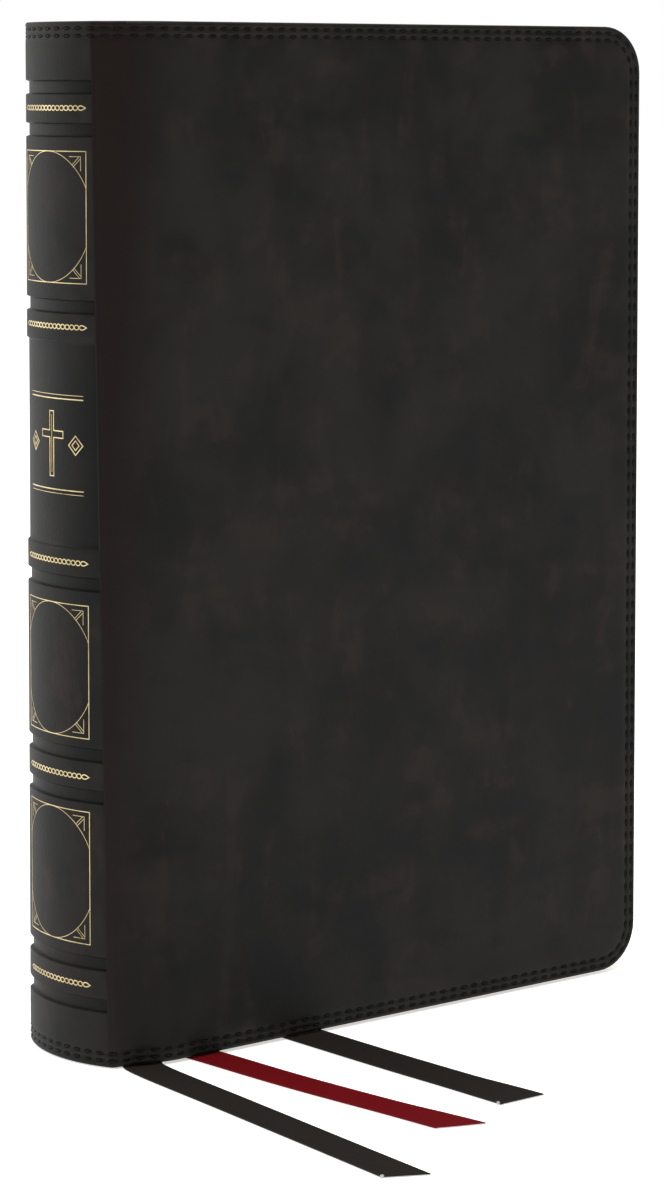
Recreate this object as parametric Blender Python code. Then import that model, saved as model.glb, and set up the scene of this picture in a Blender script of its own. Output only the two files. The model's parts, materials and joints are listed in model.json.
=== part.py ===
"""A leather-bound bible that stands upright on its tail, made from its separate pieces.

The frame: +X runs from the spine to the fore-edge, the front cover faces -Y and +Z is up. The
origin is under the middle of the closed book, on the surface that it stands on. Lengths are in
metres. The front cover, its free leaves and the first pages turn about an upright axis beside
the spine's front edge, and the back ones about its mirror image at the back.
"""

import math

import bmesh
import bpy
from mathutils import Matrix, Vector

# The closed book
HEIGHT = 0.240
WIDTH = 0.1635  # from the crown of the spine to the covers' fore-edge
GAP = 0.0003  # between pieces that touch on the real book

# Covers: an outer leather with a raised border, a board in it and a lining over the board
COVER_LEATHER = 0.0011
COVER_BOARD = 0.0009
COVER_LINING = 0.0006
COVER_CORNER = 0.0115  # radius of the rounded fore-edge corners
COVER_BORDER = 0.0048  # width of the stitched border round the board
JOINT_WIDTH = 0.0150  # the soft strip between the spine and the board
JOINT_DEPTH = 0.0050  # how far that strip falls in towards the spine
JOINT_CURVE = 1.8
JOINT_CUTS = 6
JOINT_CLEARANCE = 0.0002

# Stitching: two rows of thread, each sunk in a channel of the leather
THREAD_ROWS = {"outer": 0.0016, "inner": 0.0033}  # from the book's edge to the thread's middle
THREAD_WIDTH = 0.0005
THREAD_THICKNESS = 0.0004
THREAD_SUNK = 0.0001  # the thread's face lies this far under the leather's
CHANNEL_WIDTH = 0.0009
CHANNEL_DEPTH = 0.0007
CHANNEL_WALL = 0.0001  # height of its sloping edges across the spine

# Spine: layers from the outside in, all on one centre line
SPINE_RADIUS = 0.0335
SPINE_LEATHER = 0.0012
SPINE_CARD = 0.0008
SPINE_PAPER = 0.0004
CRASH_CLOTH = 0.0004
SEWING_TAPE = 0.0005
# how far short of the crease each layer's edges stop, across the book
SPINE_LEATHER_SHORT = 0.0010
SPINE_CARD_SHORT = 0.0030
SPINE_PAPER_SHORT = 0.0016
CRASH_CLOTH_SHORT = 0.0011
SEWING_TAPE_SHORT = 0.0032
SPINE_CARD_ENDS = 0.0030  # the card stops this far inside the spine's head and tail
SEWING_TAPE_HEIGHT = 0.012
SEWING_TAPES = 4  # evenly spaced up the pages
ARC_STEPS = 14

# Pressed into the spine: narrow bands in pairs, and one tall panel for a title
BAND_WIDTH = 0.0034
BAND_DEPTH = 0.00045
BANDS_FROM_TAIL = (0.0143, 0.0240, 0.0628, 0.0724, 0.1118)
BANDS_FROM_HEAD = (0.0648, 0.0246, 0.0149)
PANEL_MARGIN = 0.0079  # from the panel's ends to the middles of the bands below and above it
PANEL_DEPTH = 0.00035
PRESSED_WALL = 0.0003  # height of the sloping edge of a pressed band

# Pages
SQUARE = 0.0035  # how far the covers stand past the pages at head and tail
FORE_SQUARE = 0.0040
PAGE_CORNER = 0.0095
SIGNATURE = 0.00248  # thickness of one sewn section of pages
SIGNATURES_PER_GROUP = 3
PAGE_GROUPS = 4  # front, two in the middle with a ribbon between them, and back
LEAF = 0.00025
CORNER_STEPS = 6

# Head and tail bands: a striped cord sewn over each end of the pages' folds
BAND_CORD_RADIUS = 0.0011
BAND_CORD_SHORT = 0.0033
BAND_CORD_SIDES = 8

# Ribbon markers: flat strips that lie between the pages and run out at the tail, under the
# front cover, onto the surface that the book stands on
RIBBON = 0.00025
RIBBON_BEND = 0.0030
RIBBON_BEND_STEPS = 6
RIBBON_HEAD_DROP = 0.0005
RIBBON_STEPS = 3  # points read from the curve between two of a route's own points
RIBBONS = {
    # width, x at the head, slant of the cut end, and (x, y) along the floor from the pages outwards
    "ribbon_front": (
        0.0094,
        -0.0680,
        0.0044,
        ((-0.0664, -0.0125), (-0.0695, -0.0180), (-0.0712, -0.0260), (-0.0722, -0.0600), (-0.0742, -0.1204)),
    ),
    "ribbon_middle": (
        0.0090,
        -0.0640,
        0.0058,
        ((-0.0560, -0.0050), (-0.0549, -0.0150), (-0.0535, -0.0250), (-0.0502, -0.0550), (-0.0430, -0.1006)),
    ),
    "ribbon_back": (
        0.0112,
        -0.0600,
        0.0012,
        ((-0.0266, 0.0040), (-0.0256, -0.0100), (-0.0246, -0.0250), (-0.0227, -0.0550), (-0.0194, -0.0940)),
    ),
}

# Worked out from the sizes above
COVER_THICKNESS = COVER_LEATHER + GAP + COVER_BOARD + GAP + COVER_LINING
FRONT_COVER_LIFT = RIBBON + 0.0002  # the ribbons pass under the front cover
CROWN_X = -WIDTH / 2
FORE_X = WIDTH / 2
SPINE_CENTRE_X = CROWN_X + SPINE_RADIUS
CARD_RADIUS = SPINE_RADIUS - SPINE_LEATHER - GAP
PAPER_RADIUS = CARD_RADIUS - SPINE_CARD - GAP
CLOTH_RADIUS = PAPER_RADIUS - SPINE_PAPER - GAP
TAPE_RADIUS = CLOTH_RADIUS - CRASH_CLOTH - GAP
PAGES_RADIUS = TAPE_RADIUS - SEWING_TAPE - GAP
PAGES_LOW = SQUARE
PAGES_HIGH = HEIGHT - SQUARE


def group_signatures(group):
    """Names of the sections in one group of pages, counted from 0 at the front."""
    first = group * SIGNATURES_PER_GROUP + 1
    return [f"signature_{number:02d}" for number in range(first, first + SIGNATURES_PER_GROUP)]


def block_layers():
    """(name, thickness) of everything between the covers, from the front to the back."""
    groups = [[(name, SIGNATURE) for name in group_signatures(group)] for group in range(PAGE_GROUPS)]
    return (
        [("front_flyleaf", LEAF)]
        + groups[0]
        + [("front_leaf_1", LEAF), ("front_leaf_2", LEAF), ("ribbon_front", RIBBON)]
        + groups[1]
        + [("ribbon_middle", RIBBON)]
        + groups[2]
        + [("ribbon_back", RIBBON), ("back_leaf_2", LEAF), ("back_leaf_1", LEAF)]
        + groups[3]
        + [("back_flyleaf", LEAF)]
    )


def layer_places():
    """Lowest and highest y of each layer, and the whole block's thickness."""
    layers = block_layers()
    thickness = sum(size for _, size in layers) + GAP * (len(layers) - 1)
    places = {}
    y = -thickness / 2
    for name, size in layers:
        places[name] = (y, y + size)
        y += size + GAP
    return places, thickness


PLACES, BLOCK_THICKNESS = layer_places()
THICKNESS = BLOCK_THICKNESS + 2 * (GAP + COVER_THICKNESS)
FACE_Y = THICKNESS / 2
CREASE_Y = FACE_Y - JOINT_DEPTH
CREASE_X = SPINE_CENTRE_X - math.sqrt(SPINE_RADIUS**2 - CREASE_Y**2)
BOARD_X = CREASE_X + JOINT_WIDTH  # where the stiff part of a cover begins


def spine_side_x(y_low, y_high):
    """How far towards the spine a flat layer of pages reaches and stays inside its rounding."""
    return SPINE_CENTRE_X - math.sqrt(PAGES_RADIUS**2 - max(abs(y_low), abs(y_high)) ** 2)


PAGE_WIDTH = FORE_X - FORE_SQUARE - spine_side_x(*PLACES["signature_01"])


def clear_scene():
    for obj in list(bpy.data.objects):
        bpy.data.objects.remove(obj, do_unlink=True)


def material(name, colour, roughness, metallic=0.0):
    made = bpy.data.materials.new(name)
    made.use_nodes = True
    shader = made.node_tree.nodes["Principled BSDF"]
    shader.inputs["Base Color"].default_value = (*colour, 1.0)
    shader.inputs["Roughness"].default_value = roughness
    shader.inputs["Metallic"].default_value = metallic
    made.diffuse_color = (*colour, 1.0)
    return made


def joint_empty(name, place, parent=None):
    """An upright empty on a joint's axis; what moves with the joint is its child."""
    empty = bpy.data.objects.new(name, None)
    empty.empty_display_size = 0.02
    empty.location = place if parent is None else Vector(place) - parent.location
    bpy.context.scene.collection.objects.link(empty)
    if parent is not None:
        empty.parent = parent
    return empty


def add_piece(name, bm, finish, parent=None, smooth=False):
    """Makes the mesh an object, its origin on its parent's axis, and leaves it where it was drawn."""
    bm.normal_update()
    bmesh.ops.recalc_face_normals(bm, faces=bm.faces)
    if parent is not None:
        bpy.context.view_layer.update()
        bm.transform(parent.matrix_world.inverted())
    mesh = bpy.data.meshes.new(name)
    bm.to_mesh(mesh)
    bm.free()
    mesh.materials.append(finish)
    if smooth:
        mesh.shade_smooth()
        mesh.set_sharp_from_angle(angle=math.radians(40))
    obj = bpy.data.objects.new(name, mesh)
    obj.parent = parent
    bpy.context.scene.collection.objects.link(obj)
    return obj


def rounded_outline(x_spine, x_fore, z_low, z_high, corner):
    """(x, z) round an upright sheet whose two fore-edge corners are rounded."""
    points = [(x_spine, z_high), (x_spine, z_low)]
    for z_middle, start in ((z_low + corner, -90), (z_high - corner, 0)):
        for step in range(CORNER_STEPS + 1):
            angle = math.radians(start + 90 * step / CORNER_STEPS)
            points.append((x_fore - corner + corner * math.cos(angle), z_middle + corner * math.sin(angle)))
    return points


def sheet(outline, y_low, y_high):
    """A flat plate: the outline in the XZ plane, given its thickness along Y."""
    bm = bmesh.new()
    face = bm.faces.new([bm.verts.new((x, y_low, z)) for x, z in outline])
    grown = bmesh.ops.extrude_face_region(bm, geom=[face])["geom"]
    corners = [item for item in grown if isinstance(item, bmesh.types.BMVert)]
    bmesh.ops.translate(bm, verts=corners, vec=(0, y_high - y_low, 0))
    return bm


def loft(rings, closed_ends=True):
    """A closed body through rings of points, each with the same number of points."""
    bm = bmesh.new()
    rows = [[bm.verts.new(point) for point in ring] for ring in rings]
    for low, high in zip(rows, rows[1:]):
        for i in range(len(low)):
            j = (i + 1) % len(low)
            bm.faces.new((low[i], low[j], high[j], high[i]))
    if closed_ends:
        bm.faces.new(reversed(rows[0]))
        bm.faces.new(rows[-1])
    return bm


def half_angle_to(radius, short):
    """Half the angle of an arc round the spine that stops short of the creases."""
    return math.asin((CREASE_Y - short) / radius)


def arc_points(radius, half_angle, z):
    """Points round the spine from its front edge to its back edge, at one height."""
    points = []
    for step in range(ARC_STEPS + 1):
        angle = half_angle * (2 * step / ARC_STEPS - 1)
        points.append((SPINE_CENTRE_X - radius * math.cos(angle), radius * math.sin(angle), z))
    return points


def curved_sheet(radius, thickness, short, levels):
    """A sheet round the spine. levels are (z, depth) pairs: depth is pressed in from outside."""
    half_angle = half_angle_to(radius, short)
    rings = []
    for z, depth in levels:
        outer = arc_points(radius - depth, half_angle, z)
        inner = arc_points(radius - thickness, half_angle, z)
        rings.append(outer + inner[::-1])
    return loft(rings)


def spine_levels():
    """(z, depth) up the spine's leather, with its channels, bands and panel pressed in."""
    middles = list(BANDS_FROM_TAIL) + [HEIGHT - drop for drop in BANDS_FROM_HEAD]
    half = BAND_WIDTH / 2
    pressed = [(middle - half, middle + half, BAND_DEPTH, PRESSED_WALL) for middle in middles]
    panel_low = BANDS_FROM_TAIL[-1] + PANEL_MARGIN
    panel_high = HEIGHT - BANDS_FROM_HEAD[0] - PANEL_MARGIN
    pressed.append((panel_low, panel_high, PANEL_DEPTH, PRESSED_WALL))
    for inset in THREAD_ROWS.values():
        for middle in (inset, HEIGHT - inset):
            low, high = middle - CHANNEL_WIDTH / 2, middle + CHANNEL_WIDTH / 2
            pressed.append((low, high, CHANNEL_DEPTH, CHANNEL_WALL))
    levels = [(0.0, 0.0)]
    for low, high, depth, wall in sorted(pressed):
        levels += [(low, 0.0), (low + wall, depth), (high - wall, depth), (high, 0.0)]
    return levels + [(HEIGHT, 0.0)]


def build_spine_threads(thread):
    """The rows of stitches across the spine's head and tail, each one thread in its channel."""
    for end, base, direction in (("tail", 0.0, 1), ("head", HEIGHT, -1)):
        for row, inset in THREAD_ROWS.items():
            middle = base + direction * inset
            ends = [(middle - THREAD_WIDTH / 2, 0), (middle + THREAD_WIDTH / 2, 0)]
            strip = curved_sheet(SPINE_RADIUS - THREAD_SUNK, THREAD_THICKNESS, SPINE_LEATHER_SHORT, ends)
            add_piece(f"spine_{end}_thread_{row}", strip, thread, smooth=True)


def build_spine(leather, board, paper, cloth):
    card_ends = [(SPINE_CARD_ENDS, 0), (HEIGHT - SPINE_CARD_ENDS, 0)]
    ends = [(PAGES_LOW, 0), (PAGES_HIGH, 0)]
    layers = {
        "spine_leather": (SPINE_RADIUS, SPINE_LEATHER, SPINE_LEATHER_SHORT, spine_levels(), leather),
        "spine_card": (CARD_RADIUS, SPINE_CARD, SPINE_CARD_SHORT, card_ends, board),
        "spine_paper": (PAPER_RADIUS, SPINE_PAPER, SPINE_PAPER_SHORT, ends, paper),
        "crash_cloth": (CLOTH_RADIUS, CRASH_CLOTH, CRASH_CLOTH_SHORT, ends, cloth),
    }
    for name, (radius, thickness, short, levels, finish) in layers.items():
        add_piece(name, curved_sheet(radius, thickness, short, levels), finish, smooth=True)
    for tape in range(SEWING_TAPES):
        middle = PAGES_LOW + (tape + 0.5) / SEWING_TAPES * (PAGES_HIGH - PAGES_LOW)
        ends = [(middle - SEWING_TAPE_HEIGHT / 2, 0), (middle + SEWING_TAPE_HEIGHT / 2, 0)]
        strip = curved_sheet(TAPE_RADIUS, SEWING_TAPE, SEWING_TAPE_SHORT, ends)
        add_piece(f"sewing_tape_{tape + 1}", strip, cloth, smooth=True)


def band_cord(z):
    """The small cord over one end of the folds: a round section swept along the spine's arc."""
    radius = PAGES_RADIUS - BAND_CORD_RADIUS
    half_angle = half_angle_to(radius, BAND_CORD_SHORT)
    rings = []
    for step in range(ARC_STEPS + 1):
        around = half_angle * (2 * step / ARC_STEPS - 1)
        ring = []
        for side in range(BAND_CORD_SIDES):
            turn = 2 * math.pi * side / BAND_CORD_SIDES
            reach = radius + BAND_CORD_RADIUS * math.cos(turn)
            height = z + BAND_CORD_RADIUS * math.sin(turn)
            ring.append((SPINE_CENTRE_X - reach * math.cos(around), reach * math.sin(around), height))
        rings.append(ring)
    return loft(rings)


def build_bands(cord):
    add_piece("head_band", band_cord(PAGES_HIGH + GAP + BAND_CORD_RADIUS), cord, smooth=True)
    add_piece("tail_band", band_cord(PAGES_LOW - GAP - BAND_CORD_RADIUS), cord, smooth=True)


def page_layer(name):
    """One flat layer of pages in its place. All are equally wide, so the fore-edge is hollow."""
    y_low, y_high = PLACES[name]
    x_spine = spine_side_x(y_low, y_high)
    outline = rounded_outline(x_spine, x_spine + PAGE_WIDTH, PAGES_LOW, PAGES_HIGH, PAGE_CORNER)
    return sheet(outline, y_low, y_high)


def build_pages(paper, joints):
    parents = {
        "front_flyleaf": joints["front_flyleaf"],
        "front_leaf_1": joints["front_leaf_1"],
        "front_leaf_2": joints["front_leaf_2"],
        "back_flyleaf": joints["back_flyleaf"],
        "back_leaf_1": joints["back_leaf_1"],
        "back_leaf_2": joints["back_leaf_2"],
    }
    parents.update({name: joints["front_pages"] for name in group_signatures(0)})
    parents.update({name: joints["back_pages"] for name in group_signatures(PAGE_GROUPS - 1)})
    for name, _ in block_layers():
        if not name.startswith("ribbon"):
            add_piece(name, page_layer(name), paper, parents.get(name))


def bend_joint(bm):
    """Cuts the strip beside the spine upright, and curves it in towards the crease."""
    for cut in range(JOINT_CUTS):
        x = BOARD_X - JOINT_WIDTH * cut / JOINT_CUTS
        everything = bm.verts[:] + bm.edges[:] + bm.faces[:]
        bmesh.ops.bisect_plane(bm, geom=everything, dist=1e-7, plane_co=(x, 0, 0), plane_no=(1, 0, 0))
    for vert in bm.verts:
        share = (BOARD_X - vert.co.x) / JOINT_WIDTH
        if share > 0:
            vert.co.y += JOINT_DEPTH * share**JOINT_CURVE


def cover_leather(z_low):
    """The front cover's leather: a plate with a raised border that the board lies in."""
    outline = rounded_outline(CREASE_X + JOINT_CLEARANCE, FORE_X, z_low, HEIGHT, COVER_CORNER)
    bm = sheet(outline, -FACE_Y, -FACE_Y + COVER_LEATHER)
    everything = bm.verts[:] + bm.edges[:] + bm.faces[:]
    bmesh.ops.bisect_plane(bm, geom=everything, dist=1e-7, plane_co=(BOARD_X, 0, 0), plane_no=(1, 0, 0))
    bmesh.ops.recalc_face_normals(bm, faces=bm.faces)
    inside = [f for f in bm.faces if f.normal.y > 0.9 and f.calc_center_median().x > BOARD_X]
    border = bmesh.ops.inset_region(bm, faces=inside, thickness=COVER_BORDER, use_even_offset=True)["faces"]
    raised = bmesh.ops.extrude_face_region(bm, geom=border)["geom"]
    corners = [item for item in raised if isinstance(item, bmesh.types.BMVert)]
    bmesh.ops.translate(bm, verts=corners, vec=(0, COVER_THICKNESS - COVER_LEATHER, 0))
    bmesh.ops.delete(bm, geom=[f for f in border if f.is_valid], context="FACES_ONLY")
    bend_joint(bm)
    return bm


def edge_run(z_low, inset, width, x_start, y_low, y_high):
    """A flat strip inside the front cover's head, fore-edge and tail, open at the spine."""
    sides = []
    for offset in (inset - width / 2, inset + width / 2):
        corner = COVER_CORNER - offset
        outline = rounded_outline(x_start, FORE_X - offset, z_low + offset, HEIGHT - offset, corner)
        sides.append(outline[1:] + outline[:1])
    bm = sheet(sides[0] + sides[1][::-1], y_low, y_high)
    bend_joint(bm)
    return bm


def cut_channel(obj, name, cutter_mesh):
    """Cuts a thread's channel from the leather."""
    bmesh.ops.recalc_face_normals(cutter_mesh, faces=cutter_mesh.faces)
    mesh = bpy.data.meshes.new(name)
    cutter_mesh.to_mesh(mesh)
    cutter_mesh.free()
    cutter = bpy.data.objects.new(name, mesh)
    cutter.hide_render = True
    cutter.display_type = "WIRE"
    bpy.context.scene.collection.objects.link(cutter)
    cut = obj.modifiers.new(name, "BOOLEAN")
    cut.operation = "DIFFERENCE"
    cut.object = cutter


def cover_insert(z_low, depth, thickness):
    """A plate that lies in the leather's border: the board, or the lining over it."""
    inset = COVER_BORDER + GAP
    corner = COVER_CORNER - inset
    outline = rounded_outline(BOARD_X + inset, FORE_X - inset, z_low + inset, HEIGHT - inset, corner)
    return sheet(outline, -FACE_Y + depth, -FACE_Y + depth + thickness)


def build_cover(side, z_low, leather, board, lining, thread, joint):
    """One cover. It is drawn as the front one, and the back one is its mirror image."""
    mirror = Matrix.Scale(-1, 4, (0, 1, 0)) if side == "back" else Matrix.Identity(4)
    board_depth = COVER_LEATHER + GAP
    lining_depth = board_depth + COVER_BOARD + GAP
    pieces = {
        "leather": (cover_leather(z_low), leather),
        "board": (cover_insert(z_low, board_depth, COVER_BOARD), board),
        "lining": (cover_insert(z_low, lining_depth, COVER_LINING), lining),
    }
    for row, inset in THREAD_ROWS.items():
        face = -FACE_Y + THREAD_SUNK
        start = CREASE_X + JOINT_CLEARANCE
        run = edge_run(z_low, inset, THREAD_WIDTH, start, face, face + THREAD_THICKNESS)
        pieces[f"thread_{row}"] = (run, thread)
    made = {}
    for piece, (bm, finish) in pieces.items():
        bm.transform(mirror)
        made[piece] = add_piece(f"{side}_cover_{piece}", bm, finish, joint)
    for row, inset in THREAD_ROWS.items():
        start = CREASE_X - CHANNEL_DEPTH
        bottom = -FACE_Y + CHANNEL_DEPTH
        cutter = edge_run(z_low, inset, CHANNEL_WIDTH, start, -FACE_Y - CHANNEL_DEPTH, bottom)
        cutter.transform(mirror)
        cutter.normal_update()
        cut_channel(made["leather"], f"{side}_channel_{row}", cutter)


def smooth_run(points, steps):
    """Points on a smooth curve through the given ones."""
    padded = [2 * points[0] - points[1], *points, 2 * points[-1] - points[-2]]
    run = []
    for p0, p1, p2, p3 in zip(padded, padded[1:], padded[2:], padded[3:]):
        for step in range(steps):
            t = step / steps
            bend = (2 * p0 - 5 * p1 + 4 * p2 - p3) * t**2 + (3 * p1 - p0 - 3 * p2 + p3) * t**3
            run.append((2 * p1 + (p2 - p0) * t + bend) / 2)
    return run + [points[-1]]


def ribbon_path(name, x_head, floor_points):
    """Points down between the pages, round a bend at the tail and out along the floor."""
    y_low, y_high = PLACES[name]
    y = (y_low + y_high) / 2
    z_floor = RIBBON / 2
    x_tail = floor_points[0][0]
    path = [Vector((x_head, y, PAGES_HIGH - RIBBON_HEAD_DROP)), Vector((x_tail, y, PAGES_LOW))]
    for step in range(RIBBON_BEND_STEPS + 1):
        angle = math.radians(90 * step / RIBBON_BEND_STEPS)
        drop = RIBBON_BEND * (1 - math.sin(angle))
        path.append(Vector((x_tail, y - RIBBON_BEND * (1 - math.cos(angle)), z_floor + drop)))
    return path + smooth_run([Vector((px, py, z_floor)) for px, py in floor_points], RIBBON_STEPS)


def ribbon_body(name, width, x_head, slant, floor_points):
    """A flat strip along its path, its width across the book, its end cut at a slant."""
    path = ribbon_path(name, x_head, floor_points)
    across = Vector((1, 0, 0))
    rings = []
    for i, point in enumerate(path):
        along = (path[min(i + 1, len(path) - 1)] - path[max(i - 1, 0)]).normalized()
        normal = along.cross(across).normalized() * RIBBON / 2
        if i < 3:
            normal = Vector((0, -RIBBON / 2, 0))
        side = across * width / 2
        shift = along * slant / 2 if i == len(path) - 1 else Vector()
        left, right = point - side - shift, point + side + shift
        rings.append([left - normal, right - normal, right + normal, left + normal])
    return loft(rings)


def build_ribbons(black, red):
    for name, (width, x_head, slant, floor_points) in RIBBONS.items():
        finish = red if name == "ribbon_middle" else black
        add_piece(name, ribbon_body(name, width, x_head, slant, floor_points), finish)


def build_joints():
    """The axes: each side's pages, cover and free leaves turn about one upright line."""
    joints = {}
    for side, y in (("front", -FACE_Y), ("back", FACE_Y)):
        axis = (CREASE_X, y, 0)
        joints[f"{side}_pages"] = joint_empty(f"{side}_pages_axis", axis)
        for piece in ("cover", "flyleaf"):
            joints[f"{side}_{piece}"] = joint_empty(f"{side}_{piece}_axis", axis, joints[f"{side}_pages"])
        for leaf in ("leaf_1", "leaf_2"):
            joints[f"{side}_{leaf}"] = joint_empty(f"{side}_{leaf}_axis", axis)
    return joints


def main():
    clear_scene()
    leather = material("black_leather", (0.020, 0.019, 0.018), 0.50)
    board = material("grey_board", (0.36, 0.33, 0.29), 0.85)
    lining = material("black_lining", (0.026, 0.024, 0.023), 0.65)
    paper = material("thin_paper", (0.86, 0.83, 0.75), 0.75)
    cloth = material("unbleached_cloth", (0.72, 0.68, 0.58), 0.90)
    cord = material("band_cord", (0.10, 0.09, 0.08), 0.60)
    black_ribbon = material("black_ribbon", (0.024, 0.021, 0.019), 0.45)
    red_ribbon = material("red_ribbon", (0.160, 0.006, 0.010), 0.45)
    thread = material("stitch_thread", (0.015, 0.014, 0.013), 0.55)
    joints = build_joints()
    build_spine(leather, board, paper, cloth)
    build_bands(cord)
    build_pages(paper, joints)
    build_spine_threads(thread)
    build_cover("front", FRONT_COVER_LIFT, leather, board, lining, thread, joints["front_cover"])
    build_cover("back", 0.0, leather, board, lining, thread, joints["back_cover"])
    build_ribbons(black_ribbon, red_ribbon)


main()
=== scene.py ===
"""The looks of a leather-bound bible that stands on its tail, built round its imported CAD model.

Lengths are in metres. +X runs from the spine to the fore-edge, the front cover faces -Y and +Z is
up. What has a front and a back is drawn as the front one and mirrored for the back one.
"""

import json
import math
import random

import bmesh
import bpy
from mathutils import Matrix, Vector, noise
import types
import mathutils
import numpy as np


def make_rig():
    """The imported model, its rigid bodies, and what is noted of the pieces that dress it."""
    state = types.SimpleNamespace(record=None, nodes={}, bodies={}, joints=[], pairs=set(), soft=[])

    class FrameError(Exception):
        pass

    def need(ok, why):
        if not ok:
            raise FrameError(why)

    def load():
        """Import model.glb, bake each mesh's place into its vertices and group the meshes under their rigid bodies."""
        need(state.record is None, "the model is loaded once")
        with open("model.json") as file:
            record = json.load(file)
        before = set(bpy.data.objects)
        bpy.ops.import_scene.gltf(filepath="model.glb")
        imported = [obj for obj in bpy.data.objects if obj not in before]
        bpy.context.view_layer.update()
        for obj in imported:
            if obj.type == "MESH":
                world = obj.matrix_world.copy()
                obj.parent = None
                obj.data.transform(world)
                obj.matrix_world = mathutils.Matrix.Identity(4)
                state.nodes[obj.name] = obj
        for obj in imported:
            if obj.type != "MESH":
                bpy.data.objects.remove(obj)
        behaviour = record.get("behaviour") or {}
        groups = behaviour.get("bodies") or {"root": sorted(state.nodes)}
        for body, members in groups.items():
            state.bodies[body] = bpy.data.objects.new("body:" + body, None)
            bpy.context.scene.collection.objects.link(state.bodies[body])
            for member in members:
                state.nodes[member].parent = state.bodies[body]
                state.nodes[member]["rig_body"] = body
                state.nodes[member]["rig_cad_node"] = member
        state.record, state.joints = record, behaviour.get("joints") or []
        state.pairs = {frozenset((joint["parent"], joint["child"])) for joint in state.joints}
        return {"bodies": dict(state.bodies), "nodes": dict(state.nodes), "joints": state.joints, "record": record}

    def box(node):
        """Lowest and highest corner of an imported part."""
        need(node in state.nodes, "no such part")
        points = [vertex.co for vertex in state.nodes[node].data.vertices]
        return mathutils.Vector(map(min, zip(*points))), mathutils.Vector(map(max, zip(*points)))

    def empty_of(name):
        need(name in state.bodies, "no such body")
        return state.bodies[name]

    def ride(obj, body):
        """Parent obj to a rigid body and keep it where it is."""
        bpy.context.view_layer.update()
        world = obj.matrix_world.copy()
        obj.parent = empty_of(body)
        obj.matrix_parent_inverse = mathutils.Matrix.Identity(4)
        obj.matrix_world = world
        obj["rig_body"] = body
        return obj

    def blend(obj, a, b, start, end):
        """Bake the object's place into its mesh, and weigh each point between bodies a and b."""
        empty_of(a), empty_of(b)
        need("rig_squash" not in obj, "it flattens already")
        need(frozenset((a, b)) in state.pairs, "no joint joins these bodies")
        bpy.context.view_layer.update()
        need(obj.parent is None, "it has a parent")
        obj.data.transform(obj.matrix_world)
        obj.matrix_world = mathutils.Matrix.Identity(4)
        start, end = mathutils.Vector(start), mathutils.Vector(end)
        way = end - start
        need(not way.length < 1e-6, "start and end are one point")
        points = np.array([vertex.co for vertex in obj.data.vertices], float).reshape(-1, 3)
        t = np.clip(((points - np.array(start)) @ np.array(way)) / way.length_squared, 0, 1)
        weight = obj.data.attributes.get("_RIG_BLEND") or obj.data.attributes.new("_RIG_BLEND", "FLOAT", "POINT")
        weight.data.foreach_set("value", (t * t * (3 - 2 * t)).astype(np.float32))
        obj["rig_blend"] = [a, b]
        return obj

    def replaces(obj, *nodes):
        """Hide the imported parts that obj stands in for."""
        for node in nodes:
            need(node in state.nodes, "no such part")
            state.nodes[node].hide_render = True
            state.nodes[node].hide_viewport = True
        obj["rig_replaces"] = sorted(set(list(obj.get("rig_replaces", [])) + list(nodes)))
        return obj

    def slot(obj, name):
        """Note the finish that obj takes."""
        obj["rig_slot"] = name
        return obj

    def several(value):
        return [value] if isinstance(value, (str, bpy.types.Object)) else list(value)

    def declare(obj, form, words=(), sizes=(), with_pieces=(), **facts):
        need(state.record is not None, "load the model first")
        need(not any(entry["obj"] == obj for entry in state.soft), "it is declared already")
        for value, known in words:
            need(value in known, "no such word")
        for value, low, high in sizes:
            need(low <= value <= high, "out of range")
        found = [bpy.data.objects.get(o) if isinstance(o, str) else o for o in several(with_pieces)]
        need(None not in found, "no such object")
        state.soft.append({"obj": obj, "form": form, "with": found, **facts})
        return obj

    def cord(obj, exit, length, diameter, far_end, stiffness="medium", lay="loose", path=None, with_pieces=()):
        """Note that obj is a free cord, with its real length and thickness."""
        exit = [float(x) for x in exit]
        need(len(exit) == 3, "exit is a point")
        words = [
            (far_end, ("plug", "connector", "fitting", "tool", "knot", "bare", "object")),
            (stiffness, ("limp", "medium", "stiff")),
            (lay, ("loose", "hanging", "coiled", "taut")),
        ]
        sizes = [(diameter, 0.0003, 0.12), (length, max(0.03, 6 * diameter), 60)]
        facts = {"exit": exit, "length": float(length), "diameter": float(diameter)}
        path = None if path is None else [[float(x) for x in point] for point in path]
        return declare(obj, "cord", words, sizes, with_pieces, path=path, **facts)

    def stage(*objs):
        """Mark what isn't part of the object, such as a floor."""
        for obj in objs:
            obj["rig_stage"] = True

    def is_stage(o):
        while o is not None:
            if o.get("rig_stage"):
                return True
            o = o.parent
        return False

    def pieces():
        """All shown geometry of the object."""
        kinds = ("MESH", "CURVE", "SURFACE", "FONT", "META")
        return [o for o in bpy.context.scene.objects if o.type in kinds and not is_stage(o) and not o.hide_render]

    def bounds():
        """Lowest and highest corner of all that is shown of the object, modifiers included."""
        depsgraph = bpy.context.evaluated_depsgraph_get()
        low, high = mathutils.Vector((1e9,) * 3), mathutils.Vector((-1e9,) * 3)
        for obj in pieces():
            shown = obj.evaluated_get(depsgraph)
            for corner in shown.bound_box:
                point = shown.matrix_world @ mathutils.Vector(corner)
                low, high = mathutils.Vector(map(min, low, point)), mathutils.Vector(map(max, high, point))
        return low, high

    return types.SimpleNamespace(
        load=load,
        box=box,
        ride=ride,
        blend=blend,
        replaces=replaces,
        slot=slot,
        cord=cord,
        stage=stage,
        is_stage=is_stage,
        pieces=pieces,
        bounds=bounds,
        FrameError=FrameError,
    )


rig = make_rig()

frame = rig.load()
cad_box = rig.bounds()

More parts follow.
